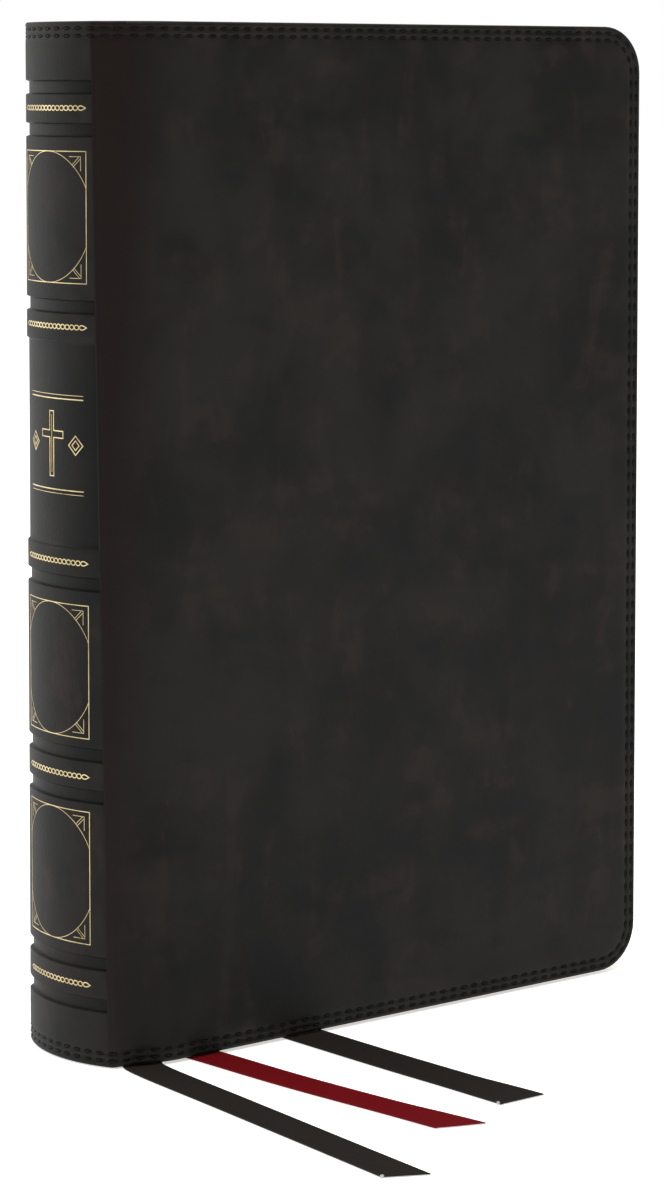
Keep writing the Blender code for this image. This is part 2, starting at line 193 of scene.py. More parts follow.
# The book, as the frame has it
ROOT = "spine_and_middle_pages"
HINGE = Vector(next(joint["pos_m"] for joint in frame["joints"] if joint["name"] == "back_cover_hinge"))
CREASE_X, FACE_Y = HINGE.x, HINGE.y
BOOK_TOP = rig.box("back_cover_leather")[1].z
FORE_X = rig.box("back_cover_leather")[1].x
CROWN_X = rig.box("spine_leather")[0].x
COVER_THICKNESS = FACE_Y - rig.box("back_cover_lining")[0].y

# Leather
SPINE_RADIUS = 0.0335
SPINE_CENTRE_X = CROWN_X + SPINE_RADIUS
LEATHER = 0.0011
BOARD_X = CREASE_X + 0.0150  # where the soft joint ends and the board begins
JOINT_CURVE = 1.8
CREASE_AT_TAIL = 0.0179  # from the spine's crown round to the crease
CREASE_AT_HEAD = 0.0146
SEAM_X = CREASE_X + 0.0040  # where the joint's leather passes over to the cover's
COVER_BEND = 0.0050  # width of leather that bends when the cover turns
CORNER = 0.0115
BORDER = 0.0048
BORDER_DROP = 0.00014  # the stitched border lies this far under the face
RIM = 0.0009  # radius of the covers' folded edge
END_RIM = LEATHER / 2 - 0.00003  # and of the spine's
SPINE_UNEVEN = 0.00006
BANDS = (0.0143, 0.0240, 0.0628, 0.0724, 0.1118, 0.1752, 0.2154, 0.2251)
BAND_WIDTH = 0.0034
BAND_DEPTH = 0.00080
PANEL = (0.1197, 0.1673)
PANEL_DEPTH = 0.00050
PRESSED_WALL = 0.00042
PRESSED_END = 0.0009  # from the crease to a pressed band's end

# Stitches
STITCH_ROWS = (0.0016, 0.0033)
STITCH_PITCH = 0.0033
STITCH_LENGTH = 0.0021
STITCH_WIDTH = 0.00052
STITCH_DIVE = 0.00034
CHANNEL_DEPTH = 0.00020
STITCH_SUNK = CHANNEL_DEPTH / 2 + 0.00008
CHANNEL_REACH = 0.00042

# Gold tooling on the spine
TOOLED = 0.00006  # height of the foil over the leather
LINE = 0.00025
FRAME_LINE = 0.00019
FINE_LINE = 0.00012
CHAIN_REACH = 0.0101  # from the crown to where a chain's last ring ends
RING_PITCH = 0.00145
CHAINS = (0.0188, 0.0673, 0.1166, 0.1706, 0.2204)
FRAMES = ((0.0283, 0.0592), (0.0762, 0.1069), (0.1806, 0.2106))
FRAME_REACH = 0.0123
OVAL_REACH = 0.0137

# Pages
PAGE_CORNER = 0.0095
GAP = 0.0003
PAGE_BEND_X = (-0.0718, -0.0540)  # the pages curve between these when they open
FLYLEAF_HINGE_X = -0.0635

# Ribbons: width, x at the head, slant of the cut end, and (x, y) along the floor from the pages
RIBBON = 0.00025
RIBBON_BEND = 0.0030
RIBBON_BEND_STEPS = 6
RIBBON_HEAD_DROP = 0.0005
RIBBON_LENGTHS = {"ribbon_front": 0.347, "ribbon_middle": 0.336, "ribbon_back": 0.340}
RIBBON_FLARES = {"ribbon_front": 0.01, "ribbon_middle": 0.14, "ribbon_back": 0.12}
RIBBONS = {
    "ribbon_front": (
        0.0094, -0.0680, 0.0044,
        ((-0.0664, -0.0125), (-0.0695, -0.0180), (-0.0712, -0.0260), (-0.0722, -0.0600), (-0.0742, -0.1204)),
    ),
    "ribbon_middle": (
        0.0090, -0.0640, 0.0058,
        ((-0.0560, -0.0050), (-0.0549, -0.0150), (-0.0535, -0.0250), (-0.0502, -0.0550), (-0.0430, -0.1006)),
    ),
    "ribbon_back": (
        0.0112, -0.0600, 0.0012,
        ((-0.0266, 0.0040), (-0.0256, -0.0100), (-0.0246, -0.0250), (-0.0227, -0.0550), (-0.0194, -0.0940)),
    ),
}

# Camera: where it stands, and the degrees that it looks down and to the right of +Y
CAMERA_PLACE = (-0.52578, -0.67176, 0.22657)
CAMERA_DOWN = 4.55
CAMERA_RIGHT = 38.08
FILM_HEIGHT = 36  # millimetres, as the lens is
LENS = 105.3
LENS_SHIFT = -0.2

# Light: the sky fades from BACK_LIGHT to DIM_LIGHT towards DIM_SIDE, between the two cosines of DIM_SPAN
DIM_SIDE = (0.0, -1.0, 0.0)
DIM_LIGHT = 0.34
BACK_LIGHT = 1.35
DIM_SPAN = (-0.95, 0.20)

SHARP_ANGLE = 40
DOUBLES = 1e-7  # points this close together are one

rng = random.Random(7)


# ---------------------------------------------------------------- camera


def place_camera():
    data = bpy.data.cameras.new("camera")
    data.sensor_fit = "VERTICAL"
    data.sensor_height = FILM_HEIGHT
    data.lens = LENS
    data.shift_y = LENS_SHIFT
    data.clip_start = 0.05
    data.clip_end = 30
    camera = bpy.data.objects.new("camera", data)
    camera.location = CAMERA_PLACE
    camera.rotation_euler = (math.radians(90 - CAMERA_DOWN), 0, math.radians(-CAMERA_RIGHT))
    bpy.context.scene.collection.objects.link(camera)
    bpy.context.scene.camera = camera


# ---------------------------------------------------------------- shader maths


class Wire:
    """A shader output. Sums and products of wires and numbers add their Math nodes."""

    def __init__(self, wiring, socket):
        self.wiring = wiring
        self.socket = socket

    def maths(self, operation, *values):
        return self.wiring.node("ShaderNodeMath", {"operation": operation}, dict(enumerate(values)))

    def __add__(self, other):
        return self.maths("ADD", self, other)

    def __radd__(self, other):
        return self.maths("ADD", other, self)

    def __sub__(self, other):
        return self.maths("SUBTRACT", self, other)

    def __rsub__(self, other):
        return self.maths("SUBTRACT", other, self)

    def __mul__(self, other):
        return self.maths("MULTIPLY", self, other)

    def __rmul__(self, other):
        return self.maths("MULTIPLY", other, self)

    def __truediv__(self, other):
        return self.maths("DIVIDE", self, other)

    def __rtruediv__(self, other):
        return self.maths("DIVIDE", other, self)

    def __pow__(self, other):
        return self.maths("POWER", self, other)

    def __abs__(self):
        return self.maths("ABSOLUTE", self)

    def fraction(self):
        return self.maths("FRACT", self)

    def sine(self):
        return self.maths("SINE", self)

    def least(self, other):
        return self.maths("MINIMUM", self, other)

    def most(self, other):
        return self.maths("MAXIMUM", self, other)

    def step(self, start, end):
        """0 up to start, 1 from end on, smooth between. start may be the greater."""
        if start < end:
            return self.spanned((start, end), (0.0, 1.0))
        return self.spanned((end, start), (1.0, 0.0))

    def spanned(self, source, result):
        """The result span's value where this one stands in the source span, smooth between its ends."""
        sockets = {"Value": self, "From Min": source[0], "From Max": source[1]}
        sockets.update({"To Min": result[0], "To Max": result[1]})
        return self.wiring.node("ShaderNodeMapRange", {"interpolation_type": "SMOOTHSTEP"}, sockets)


class Wiring:
    """A tree of shader nodes under construction."""

    def __init__(self, tree):
        self.tree = tree

    def put(self, socket, value):
        if isinstance(value, Wire):
            self.tree.links.new(value.socket, socket)
        elif isinstance(value, tuple) and len(value) == 3 and socket.type == "RGBA":
            socket.default_value = (*value, 1.0)
        else:
            socket.default_value = value

    def node(self, kind, settings=None, inputs=None, output=0):
        """Adds one node: its settings are set first, then its sockets' values or links."""
        made = self.tree.nodes.new(kind)
        for key, value in (settings or {}).items():
            if key == "stops":
                ramp = made.color_ramp
                while len(ramp.elements) < len(value):
                    ramp.elements.new(0.5)
                for element, (position, shade) in zip(ramp.elements, value):
                    element.position = position
                    element.color = (*shade, 1.0)
            else:
                setattr(made, key, value)
        for key, value in (inputs or {}).items():
            self.put(made.inputs[key], value)
        return Wire(self, made.outputs[output])


class Finish(Wiring):
    """A material under construction."""

    def __init__(self, name):
        self.material = bpy.data.materials.new(name)
        self.material.use_nodes = True
        super().__init__(self.material.node_tree)
        self.shader = self.tree.nodes["Principled BSDF"]

    def surface(self, **values):
        """Sets the shader's own sockets; base_color stands for Base Color."""
        for key, value in values.items():
            self.put(self.shader.inputs[key.replace("_", " ").title().replace("Ior", "IOR")], value)
        return self.material

    def place(self):
        return self.node("ShaderNodeTexCoord", output="Object")

    def stretched(self, place, scale):
        return self.node("ShaderNodeMapping", {}, {"Vector": place, "Scale": scale})

    def noise(self, place, scale, detail=3.0, rough=0.5, distortion=0.0):
        sockets = {"Vector": place, "Scale": scale, "Detail": detail, "Roughness": rough}
        return self.node("ShaderNodeTexNoise", {}, {**sockets, "Distortion": distortion})

    def cells(self, place, scale):
        return self.node("ShaderNodeTexVoronoi", {"feature": "SMOOTH_F1"}, {"Vector": place, "Scale": scale})

    def mix(self, share, first, second):
        """A colour between two colours."""
        settings = {"data_type": "RGBA"}
        return self.node("ShaderNodeMix", settings, {0: share, 6: first, 7: second}, output=2)

    def bump(self, height, distance, normal=None):
        sockets = {"Height": height, "Distance": distance}
        if normal is not None:
            sockets["Normal"] = normal
        return self.node("ShaderNodeBump", {}, sockets)

    def axes(self, vector):
        split = self.node("ShaderNodeSeparateXYZ", {}, {0: vector})
        return [Wire(self, socket) for socket in split.socket.node.outputs]

    def map(self, name):
        """The two coordinates of one of the piece's own UV maps."""
        return self.axes(self.node("ShaderNodeUVMap", {"uv_map": name}))[:2]


# ---------------------------------------------------------------- finishes


def black_leather():
    """Matt charcoal leather with faint brown and grey clouds, with painted shade in the pressed bands and in the
    dimples round the stitches.
    """
    finish = Finish("black_leather")
    place = finish.place()
    clouds = finish.noise(place, 34, 6.0, 0.62, 0.4)
    upright = finish.noise(finish.stretched(place, (1.0, 1.0, 0.45)), 95, 5.0, 0.62, 0.7)
    level = finish.noise(finish.stretched(place, (0.45, 1.0, 1.0)), 120, 4.0, 0.6, 0.5)
    colour = finish.mix(clouds.step(0.36, 0.64), (0.0056, 0.0053, 0.0048), (0.0116, 0.0108, 0.0095))
    brown = (upright * 0.6 + level * 0.4).step(0.49, 0.66) * 0.62
    colour = finish.mix(brown, colour, (0.0205, 0.0138, 0.0108))
    grey = (upright * 0.4 + level * 0.6).step(0.48, 0.34) * 0.50
    colour = finish.mix(grey, colour, (0.0042, 0.0046, 0.0053))
    rough = 0.46 + clouds * 0.16
    pressed, handled = finish.map("marks")
    polish = (handled + (clouds + upright) * 0.45 - 0.45).step(0.05, 0.80)
    colour = finish.mix(polish * 0.90, colour, (0.0066, 0.0027, 0.0022))
    # Painted shade: the pressed bands and panel are darkened as if shade filled their recesses, more towards the
    # creases.
    colour = finish.mix(pressed * 0.8, colour, (0.0020, 0.0019, 0.0018))
    rough = rough - polish * 0.06 - pressed * 0.08
    count, inset = finish.map("run")
    along = abs(count.fraction() - 0.5) * (STITCH_PITCH * 1000)
    from_row = abs(inset - STITCH_ROWS[0] * 1000).least(abs(inset - STITCH_ROWS[1] * 1000))
    dimple_and_shade = ((along / 1.20) ** 2.0 + (from_row / 0.50) ** 2.0).step(1.0, 0.3)
    # Painted shade: the leather round each stitch is darkened as if shade filled its dimple and hole.
    colour = finish.mix(dimple_and_shade * 0.6, colour, (0.0016, 0.0015, 0.0015))
    worn = inset.step(0.75, 0.10) * finish.noise(place, 300, 3.0, 0.6).step(0.35, 0.75)
    colour = finish.mix(worn * 0.5, colour, (0.022, 0.020, 0.018))
    rough = rough + dimple_and_shade * 0.15
    grain = finish.cells(place, 1500) * 0.55 + finish.noise(place, 2600, 2.0, 0.6) * 0.25
    grain = grain + finish.noise(place, 260, 5.0, 0.62, 0.6) * 0.5
    normal = finish.bump(1.0 - dimple_and_shade, 0.00028, finish.bump(grain, 0.00007))
    return finish.surface(base_color=colour, roughness=rough, specular_ior_level=0.11, normal=normal)


def lining_leather():
    finish = Finish("black_lining")
    place = finish.place()
    clouds = finish.noise(place, 30, 5.0, 0.6)
    grain = finish.cells(place, 1100) * 0.7 + finish.noise(place, 420, 4.0, 0.6) * 0.4
    colour = finish.mix(clouds.step(0.3, 0.7), (0.016, 0.015, 0.0145), (0.026, 0.024, 0.022))
    return finish.surface(
        base_color=colour,
        roughness=0.52 + clouds * 0.16,
        specular_ior_level=0.35,
        normal=finish.bump(grain, 0.00010),
    )


def thread_finish():
    """Twisted black thread: its plies run round it at a slant."""
    finish = Finish("stitch_thread")
    along, around = finish.map("thread")
    plies = ((along * 3.0 + around * 2.0) * (2 * math.pi)).sine() * 0.5 + 0.5
    fibres = finish.noise(finish.place(), 6000, 2.0)
    colour = finish.mix(plies, (0.0008, 0.0008, 0.0008), (0.0040, 0.0037, 0.0035))
    return finish.surface(
        base_color=colour,
        roughness=0.40 + fibres * 0.16,
        specular_ior_level=0.09,
        normal=finish.bump(plies * 0.8 + fibres * 0.3, 0.00008),
    )


def foil_finish():
    """Stamped gold foil, a little broken where the leather's pores are."""
    finish = Finish("gold_foil")
    place = finish.place()
    pores = finish.noise(place, 2400, 3.0, 0.6)
    rub = finish.noise(place, 180, 4.0, 0.6)
    worn = (pores * 0.6 + rub * 0.4).step(0.56, 0.66) * 0.7
    tone = finish.mix(rub.step(0.35, 0.7), (0.62, 0.52, 0.29), (0.47, 0.37, 0.19))
    return finish.surface(
        base_color=finish.mix(worn, tone, (0.09, 0.07, 0.045)),
        metallic=1.0 - worn * 0.7,
        roughness=0.42 + worn * 0.2,
        normal=finish.bump(pores, 0.00006),
    )


def paper_finish(name="thin_paper", colour=(0.80, 0.765, 0.67)):
    finish = Finish(name)
    place = finish.place()
    cloud = finish.noise(place, 120, 6.0, 0.65)
    fibres = finish.noise(finish.stretched(place, (1.0, 1.0, 0.3)), 1800, 4.0, 0.65)
    darker = tuple(channel * 0.97 for channel in colour)
    return finish.surface(
        base_color=finish.mix(cloud.step(0.35, 0.7), darker, colour),
        roughness=0.72 + fibres * 0.15,
        normal=finish.bump(fibres, 0.00004),
    )


def gilt_finish():
    """Burnished gold on the leaves' edges: fine lines run along the leaves."""
    finish = Finish("gilt_edge")
    place = finish.place()
    leaves = finish.noise(finish.stretched(place, (0.02, 1.0, 0.02)), 9000, 2.0, 0.6)
    cloud = finish.noise(place, 60, 5.0, 0.6)
    worn = (leaves * 0.6 + cloud * 0.4).step(0.58, 0.72) * 0.5
    tone = finish.mix(cloud.step(0.3, 0.7), (0.78, 0.58, 0.25), (0.64, 0.44, 0.16))
    return finish.surface(
        base_color=finish.mix(worn, tone, (0.45, 0.33, 0.18)),
        metallic=0.95 - worn * 0.5,
        roughness=0.30 + leaves * 0.18,
        normal=finish.bump(leaves, 0.00006),
    )


def ribbon_finish(name, dark, light):
    """Satin ribbon: fine ribs across and finer warp along."""
    finish = Finish(name)
    along, across = finish.map("weave")
    ribs = (along * (2 * math.pi / 0.42)).sine() * 0.5 + 0.5
    warp = (across * (2 * math.pi / 0.30)).sine() * 0.5 + 0.5
    slubs = finish.noise(finish.place(), 700, 3.0, 0.6)
    weave = ribs * 0.6 + warp * 0.4
    return finish.surface(
        base_color=finish.mix(weave * 0.75 + slubs * 0.25, dark, light),
        roughness=0.46 + slubs * 0.16,
        specular_ior_level=0.12,
        normal=finish.bump(weave, 0.00005),
    )


def board_finish():
    finish = Finish("grey_board")
    place = finish.place()
    flecks = finish.noise(place, 1500, 4.0, 0.7)
    layers = finish.noise(finish.stretched(place, (0.1, 1.0, 0.1)), 5000, 2.0)
    colour = finish.mix(flecks.step(0.35, 0.65), (0.26, 0.235, 0.20), (0.42, 0.39, 0.345))
    return finish.surface(
        base_color=colour,
        roughness=0.80 + flecks * 0.12,
        normal=finish.bump(flecks * 0.6 + layers * 0.4, 0.00012),
    )


def cloth_finish():
    """Open plain weave: round threads both ways, up the spine and across it."""
    finish = Finish("unbleached_cloth")
    place = finish.place()
    x, y, z = finish.axes(place)
    upright = ((y + x * 0.3) * (2 * math.pi / 0.0011)).sine() * 0.5 + 0.5
    level = (z * (2 * math.pi / 0.0011)).sine() * 0.5 + 0.5
    weave = upright.most(level)
    slubs = finish.noise(place, 900, 4.0, 0.6)
    colour = finish.mix(weave * 0.7 + slubs * 0.3, (0.46, 0.42, 0.33), (0.76, 0.72, 0.61))
    rough = 0.86 + slubs * 0.08
    return finish.surface(base_color=colour, roughness=rough, normal=finish.bump(weave, 0.00015))


def band_finish():
    """Silk wound over a cord, in stripes of black and old gold."""
    finish = Finish("band_cord")
    turns, around = finish.map("thread")
    stripe = (turns / 6.0).fraction().step(0.48, 0.52)
    wraps = (turns * (2 * math.pi)).sine() * 0.5 + 0.5
    fibres = finish.noise(finish.place(), 5000, 2.0)
    colour = finish.mix(stripe, (0.020, 0.018, 0.016), (0.42, 0.30, 0.12))
    # Painted shade: a darkened copy of the colour lies in the grooves between the wraps.
    colour = finish.mix(wraps * 0.5, finish.mix(0.6, colour, (0.01, 0.01, 0.01)), colour)
    return finish.surface(
        base_color=colour,
        roughness=0.42 + fibres * 0.18,
        normal=finish.bump(wraps * 0.8 + fibres * 0.2, 0.00008),
    )


def glue_finish():
    finish = Finish("clear_glue")
    cloud = finish.noise(finish.place(), 2500, 2.0)
    colour = finish.mix(cloud, (0.30, 0.30, 0.29), (0.46, 0.46, 0.45))
    return finish.surface(base_color=colour, roughness=0.25 + cloud * 0.15, coat_weight=0.4)


def floor_finish():
    return Finish("studio_floor").surface(
        base_color=(0.93, 0.93, 0.93),
        roughness=0.9,
        specular_ior_level=0.1,
        emission_color=(1.0, 1.0, 1.0),
        emission_strength=0.56,
    )


# ---------------------------------------------------------------- mesh helpers


def finished(name, bm, *materials, mirrored=False):
    """The bmesh as an object at the origin, its normals outward. mirrored makes a back piece of it."""
    if mirrored:
        bm.transform(Matrix.Scale(-1, 4, (0, 1, 0)))
    bm.normal_update()
    bmesh.ops.recalc_face_normals(bm, faces=bm.faces)
    mesh = bpy.data.meshes.new(name)
    bm.to_mesh(mesh)
    bm.free()
    for material in materials:
        mesh.materials.append(material)
    mesh.shade_smooth()
    mesh.set_sharp_from_angle(angle=math.radians(SHARP_ANGLE))
    obj = bpy.data.objects.new(name, mesh)
    bpy.context.scene.collection.objects.link(obj)
    return obj


def grid(wide, high, maps):
    """A flat grid of faces. maps holds functions of a point's (column, row) for named UV maps."""
    bm = bmesh.new()
    bmesh.ops.create_grid(bm, x_segments=wide, y_segments=high, size=0.5)
    for name, function in maps.items():
        layer = bm.loops.layers.uv.new(name)
        for face in bm.faces:
            for loop in face.loops:
                loop[layer].uv = function(*cell(loop.vert, wide, high))
    return bm


def cell(vert, wide, high):
    return round((vert.co.x + 0.5) * wide), round((vert.co.y + 0.5) * high)


def plate(columns, rows, place, maps=None, layers=1):
    """A closed shell over a grid of columns and rows, as thick as place says.

    place(column, row, share) gives a point, with share from 0 on the first side to 1 on the other,
    and maps holds functions of (column, row) for named UV maps.
    """
    wide, high = len(columns) - 1, len(rows) - 1
    on_grid = {name: lambda i, j, f=f: f(columns[i], rows[j]) for name, f in (maps or {}).items()}
    bm = grid(wide, high, on_grid)
    shares = {vert: 0.0 for vert in bm.verts}
    faces = bm.faces[:]
    for layer in range(layers):
        grown = bmesh.ops.extrude_face_region(bm, geom=faces)["geom"]
        faces = [item for item in grown if isinstance(item, bmesh.types.BMFace)]
        for item in grown:
            if isinstance(item, bmesh.types.BMVert):
                shares[item] = (layer + 1) / layers
    for vert, share in shares.items():
        i, j = cell(vert, wide, high)
        vert.co = place(columns[i], rows[j], share)
    return bm


def tube(steps, sides, place, per_step):
    """A closed round body: place(step, turn) gives a point, with turn from 0 to 1 round it.

    Its UV map "thread" holds the steps times per_step along it, and the turn.
    """
    bm = grid(steps, sides, {"thread": lambda i, j: (i * per_step, j / sides)})
    for vert in bm.verts:
        i, j = cell(vert, steps, sides)
        vert.co = place(i, (j % sides) / sides)
    bmesh.ops.remove_doubles(bm, verts=bm.verts, dist=DOUBLES)
    bmesh.ops.holes_fill(bm, edges=[edge for edge in bm.edges if edge.is_boundary], sides=0)
    return bm


def spread(start, end, step):
    """Evenly spaced numbers from start to end, no further apart than step."""
    count = max(1, math.ceil(abs(end - start) / step - 1e-9))
    return [start + (end - start) * i / count for i in range(count + 1)]


def joined(*runs):
    """The numbers of all runs in order, with those that are alike kept once."""
    merged = []
    for value in sorted(value for run in runs for value in run):
        if not merged or value - merged[-1] > 1e-6:
            merged.append(value)
    return merged


def edged(start, end, insets, margin, step):
    """Numbers from start to end: at the insets from either end, and evenly between the margins."""
    first, last = [start + inset for inset in insets], [end - inset for inset in insets]
    return joined(first, spread(start + margin, end - margin, step), last)


def smooth(share):
    share = min(1.0, max(0.0, share))
    return share * share * (3 - 2 * share)


def corner(x, z, x_edge, z_low, z_high, radius):
    """(reach, angle, middle_z, side) of a point in a corner's square, or None. side is 1 at the head."""
    across = x - (x_edge - radius)
    head, tail = z - (z_high - radius), z_low + radius - z
    up = max(head, tail)
    if across <= 0 or up <= 0:
        return None
    reach = max(across, up)
    angle = math.pi / 4 * min(across, up) / reach
    angle = math.pi / 2 - angle if up > across else angle
    return (reach, angle, z_high - radius, 1) if head > 0 else (reach, angle, z_low + radius, -1)


def rounded(x, z, x_edge, z_low, z_high, radius):
    """A grid's square corner pulled round, so that its rings stay even."""
    found = corner(x, z, x_edge, z_low, z_high, radius)
    if found is None:
        return x, z
    reach, angle, middle_z, side = found
    return x_edge - radius + reach * math.cos(angle), middle_z + side * reach * math.sin(angle)


# ---------------------------------------------------------------- the leather's shape


def crease_reach(z):
    return CREASE_AT_TAIL + (CREASE_AT_HEAD - CREASE_AT_TAIL) * z / BOOK_TOP


def crease_x(z):
    return SPINE_CENTRE_X - SPINE_RADIUS * math.cos(crease_reach(z) / SPINE_RADIUS)


def joint_depth(x, z):
    """How far the joint's leather lies under the cover's face."""
    share = (BOARD_X - x) / (BOARD_X - crease_x(z))
    deepest = FACE_Y - SPINE_RADIUS * math.sin(crease_reach(z) / SPINE_RADIUS)
    return deepest * max(0.0, share) ** JOINT_CURVE


def seam_reach(z):
    """Length round from the crown to the seam between the joint's leather and the cover's."""
    crease, seam = crease_x(z), SEAM_X
    return crease_reach(z) + math.hypot(seam - crease, joint_depth(seam, z) - joint_depth(crease, z))


def skin(reach, z, depth=0.0):
    """(place, way out) on the leather, that far round from the crown and that deep in it, at the front."""
    crease = crease_reach(z)
    turn = min(reach, crease) / SPINE_RADIUS
    radial = Vector((-math.cos(turn), -math.sin(turn), 0))
    if reach <= crease:
        return Vector((SPINE_CENTRE_X, 0, z)) + radial * (SPINE_RADIUS - depth), radial
    share = (reach - crease) / (seam_reach(z) - crease)
    x = crease_x(z) + share * (SEAM_X - crease_x(z))
    out = radial.lerp(Vector((0, -1, 0)), share).normalized()
    return Vector((x, joint_depth(x, z) - FACE_Y, z)) - out * depth, out


def channels(inset):
    """Depth of the two stitched channels, that far in from the edge."""
    return sum(CHANNEL_DEPTH * math.exp(-(((inset - row) / CHANNEL_REACH) ** 2)) for row in STITCH_ROWS)


def rim(inset, radius):
    """How far a folded edge's face falls back beside the edge."""
    if inset >= radius:
        return 0.0
    return radius * (1 - math.sqrt(max(0.0, 1 - (1 - inset / radius) ** 2)))


def unevenness(x, z, size):
    """Soft leather is nowhere quite flat."""
    wide = noise.noise(Vector((x * 38, 3.1, z * 38)))
    fine = noise.noise(Vector((x * 110, 8.7, z * 110)))
    return size * (0.7 * wide + 0.3 * fine)


def end_inset(z):
    return min(z, BOOK_TOP - z)


def edge_insets():
    """Distances from an edge that its fold, its channels and the board's recess need points at."""
    fold = [0.0, 0.00010, 0.00027, 0.00055, RIM]
    steps = (-1.6, -0.8, 0, 0.8, 1.6)
    rows = [row + step * CHANNEL_REACH for row in STITCH_ROWS for step in steps]
    return joined(fold, rows, [BORDER - 0.00005, BORDER + 0.00005, 0.0060, 0.0076, 0.0094, CORNER])


def end_rows():
    """Heights of the points that cross the spine and the joints: dense at the stitched ends."""
    ends = [inset for inset in edge_insets() if inset < BORDER]
    return edged(0.0, BOOK_TOP, ends, BORDER, 0.003)


def pressed_rows():
    """Heights that the walls of the pressed bands and of the panel need points at."""
    walls = [PRESSED_WALL * step / 4 for step in range(5)]
    spans = [(middle - BAND_WIDTH / 2, middle + BAND_WIDTH / 2) for middle in BANDS] + [PANEL]
    return [level for low, high in spans for wall in walls for level in (low + wall, high - wall)]


def pressing(reach, z):
    """(depth, share) of the spine's pressed bands and panel at one place, reach below 0 at the front.

    They stop short of the front crease and run out over the back one.
    """
    to_end = smooth((crease_reach(z) - PRESSED_END + reach) / PRESSED_WALL)
    to_end *= smooth((seam_reach(z) - 0.0004 - reach) / 0.0022)
    deepest, share = 0.0, 0.0
    spans = [(middle - BAND_WIDTH / 2, middle + BAND_WIDTH / 2, BAND_DEPTH) for middle in BANDS]
    for low, high, depth in [*spans, (*PANEL, PANEL_DEPTH)]:
        inside = smooth((z - low) / PRESSED_WALL) * smooth((high - z) / PRESSED_WALL) * to_end
        deepest = max(deepest, depth * inside)
        share = max(share, inside)
    return deepest, share


def crease_groove(distance):
    return 0.00024 * math.exp(-((distance / 0.0005) ** 2))


# ---------------------------------------------------------------- stitches


def stitch_mesh():
    """One stitch along X with its face towards +Z. Its ends dive into the leather."""
    steps = 5

    def place(step, turn):
        share = step / steps * 2 - 1
        thick = math.sqrt(1 - 0.75 * share**4)
        angle = 2 * math.pi * turn
        return Vector((
            share * STITCH_LENGTH / 2,
            STITCH_WIDTH / 2 * thick * math.cos(angle),
            STITCH_WIDTH * 0.42 * thick * math.sin(angle) - STITCH_DIVE * abs(share) ** 3,
        ))

    bm = tube(steps, 7, place, 1 / steps)
    mesh = bpy.data.meshes.new("stitch")
    bm.to_mesh(mesh)
    bm.free()
    return mesh


def add_stitch(bm, stitch, centre, along, out):
    """A stitch at a place on the leather, laid along the row at a slight slant."""
    along = along.normalized()
    out = (out - along * out.dot(along)).normalized()
    slant = math.radians(rng.uniform(3, 9))
    first = along * math.cos(slant) + out.cross(along) * math.sin(slant)
    turned = Matrix((first, out.cross(first), out)).transposed().to_4x4()
    length = Matrix.Diagonal((rng.uniform(0.95, 1.06), 1, 1, 1))
    before = len(bm.verts)
    bm.from_mesh(stitch)
    bm.verts.ensure_lookup_table()
    bmesh.ops.transform(bm, matrix=Matrix.Translation(centre) @ turned @ length, verts=bm.verts[before:])


def end_stitch_count(at_head):
    z = BOOK_TOP - STITCH_ROWS[0] if at_head else STITCH_ROWS[0]
    return round(2 * seam_reach(z) / STITCH_PITCH)


def end_run(reach, z):
    """(stitches along, distance in from the edge in mm) over the spine and the joints."""
    share = reach / seam_reach(z) if abs(reach) < seam_reach(z) else math.copysign(1, reach)
    return (share + 1) / 2 * end_stitch_count(z > BOOK_TOP / 2), end_inset(z) * 1000


def tail_lift(lift, share, z):
    """The front cover's tail is a little higher than the spine's, and the joint rises to it."""
    return lift * share * max(0.0, 1 - z / BORDER / 2)


def end_stitches(bm, stitch, at_head, on_joint, lift=0.0):
    """The stitches over one end of the spine, or over the front joint's end, outside and inside."""
    count = end_stitch_count(at_head)
    for inset in STITCH_ROWS:
        z = BOOK_TOP - inset if at_head else inset
        for number in range(count):
            reach = ((number + 0.5) / count * 2 - 1) * seam_reach(z)
            if (abs(reach) > crease_reach(z)) != on_joint or (on_joint and reach < 0):
                continue
            flip = Vector((1, -1 if reach < 0 else 1, 1))
            share = max(0.0, (abs(reach) - crease_reach(z)) / (seam_reach(z) - crease_reach(z)))
            up = Vector((0, 0, tail_lift(lift, share, z)))
            for depth, face in ((STITCH_SUNK, 1), (LEATHER - STITCH_SUNK, -1)):
                here, out = skin(abs(reach), z, depth)
                along = Vector((0, 0, 1)).cross(out)
                add_stitch(bm, stitch, here * flip + up, along * flip, out * flip * face)


# ---------------------------------------------------------------- covers, joints and spine


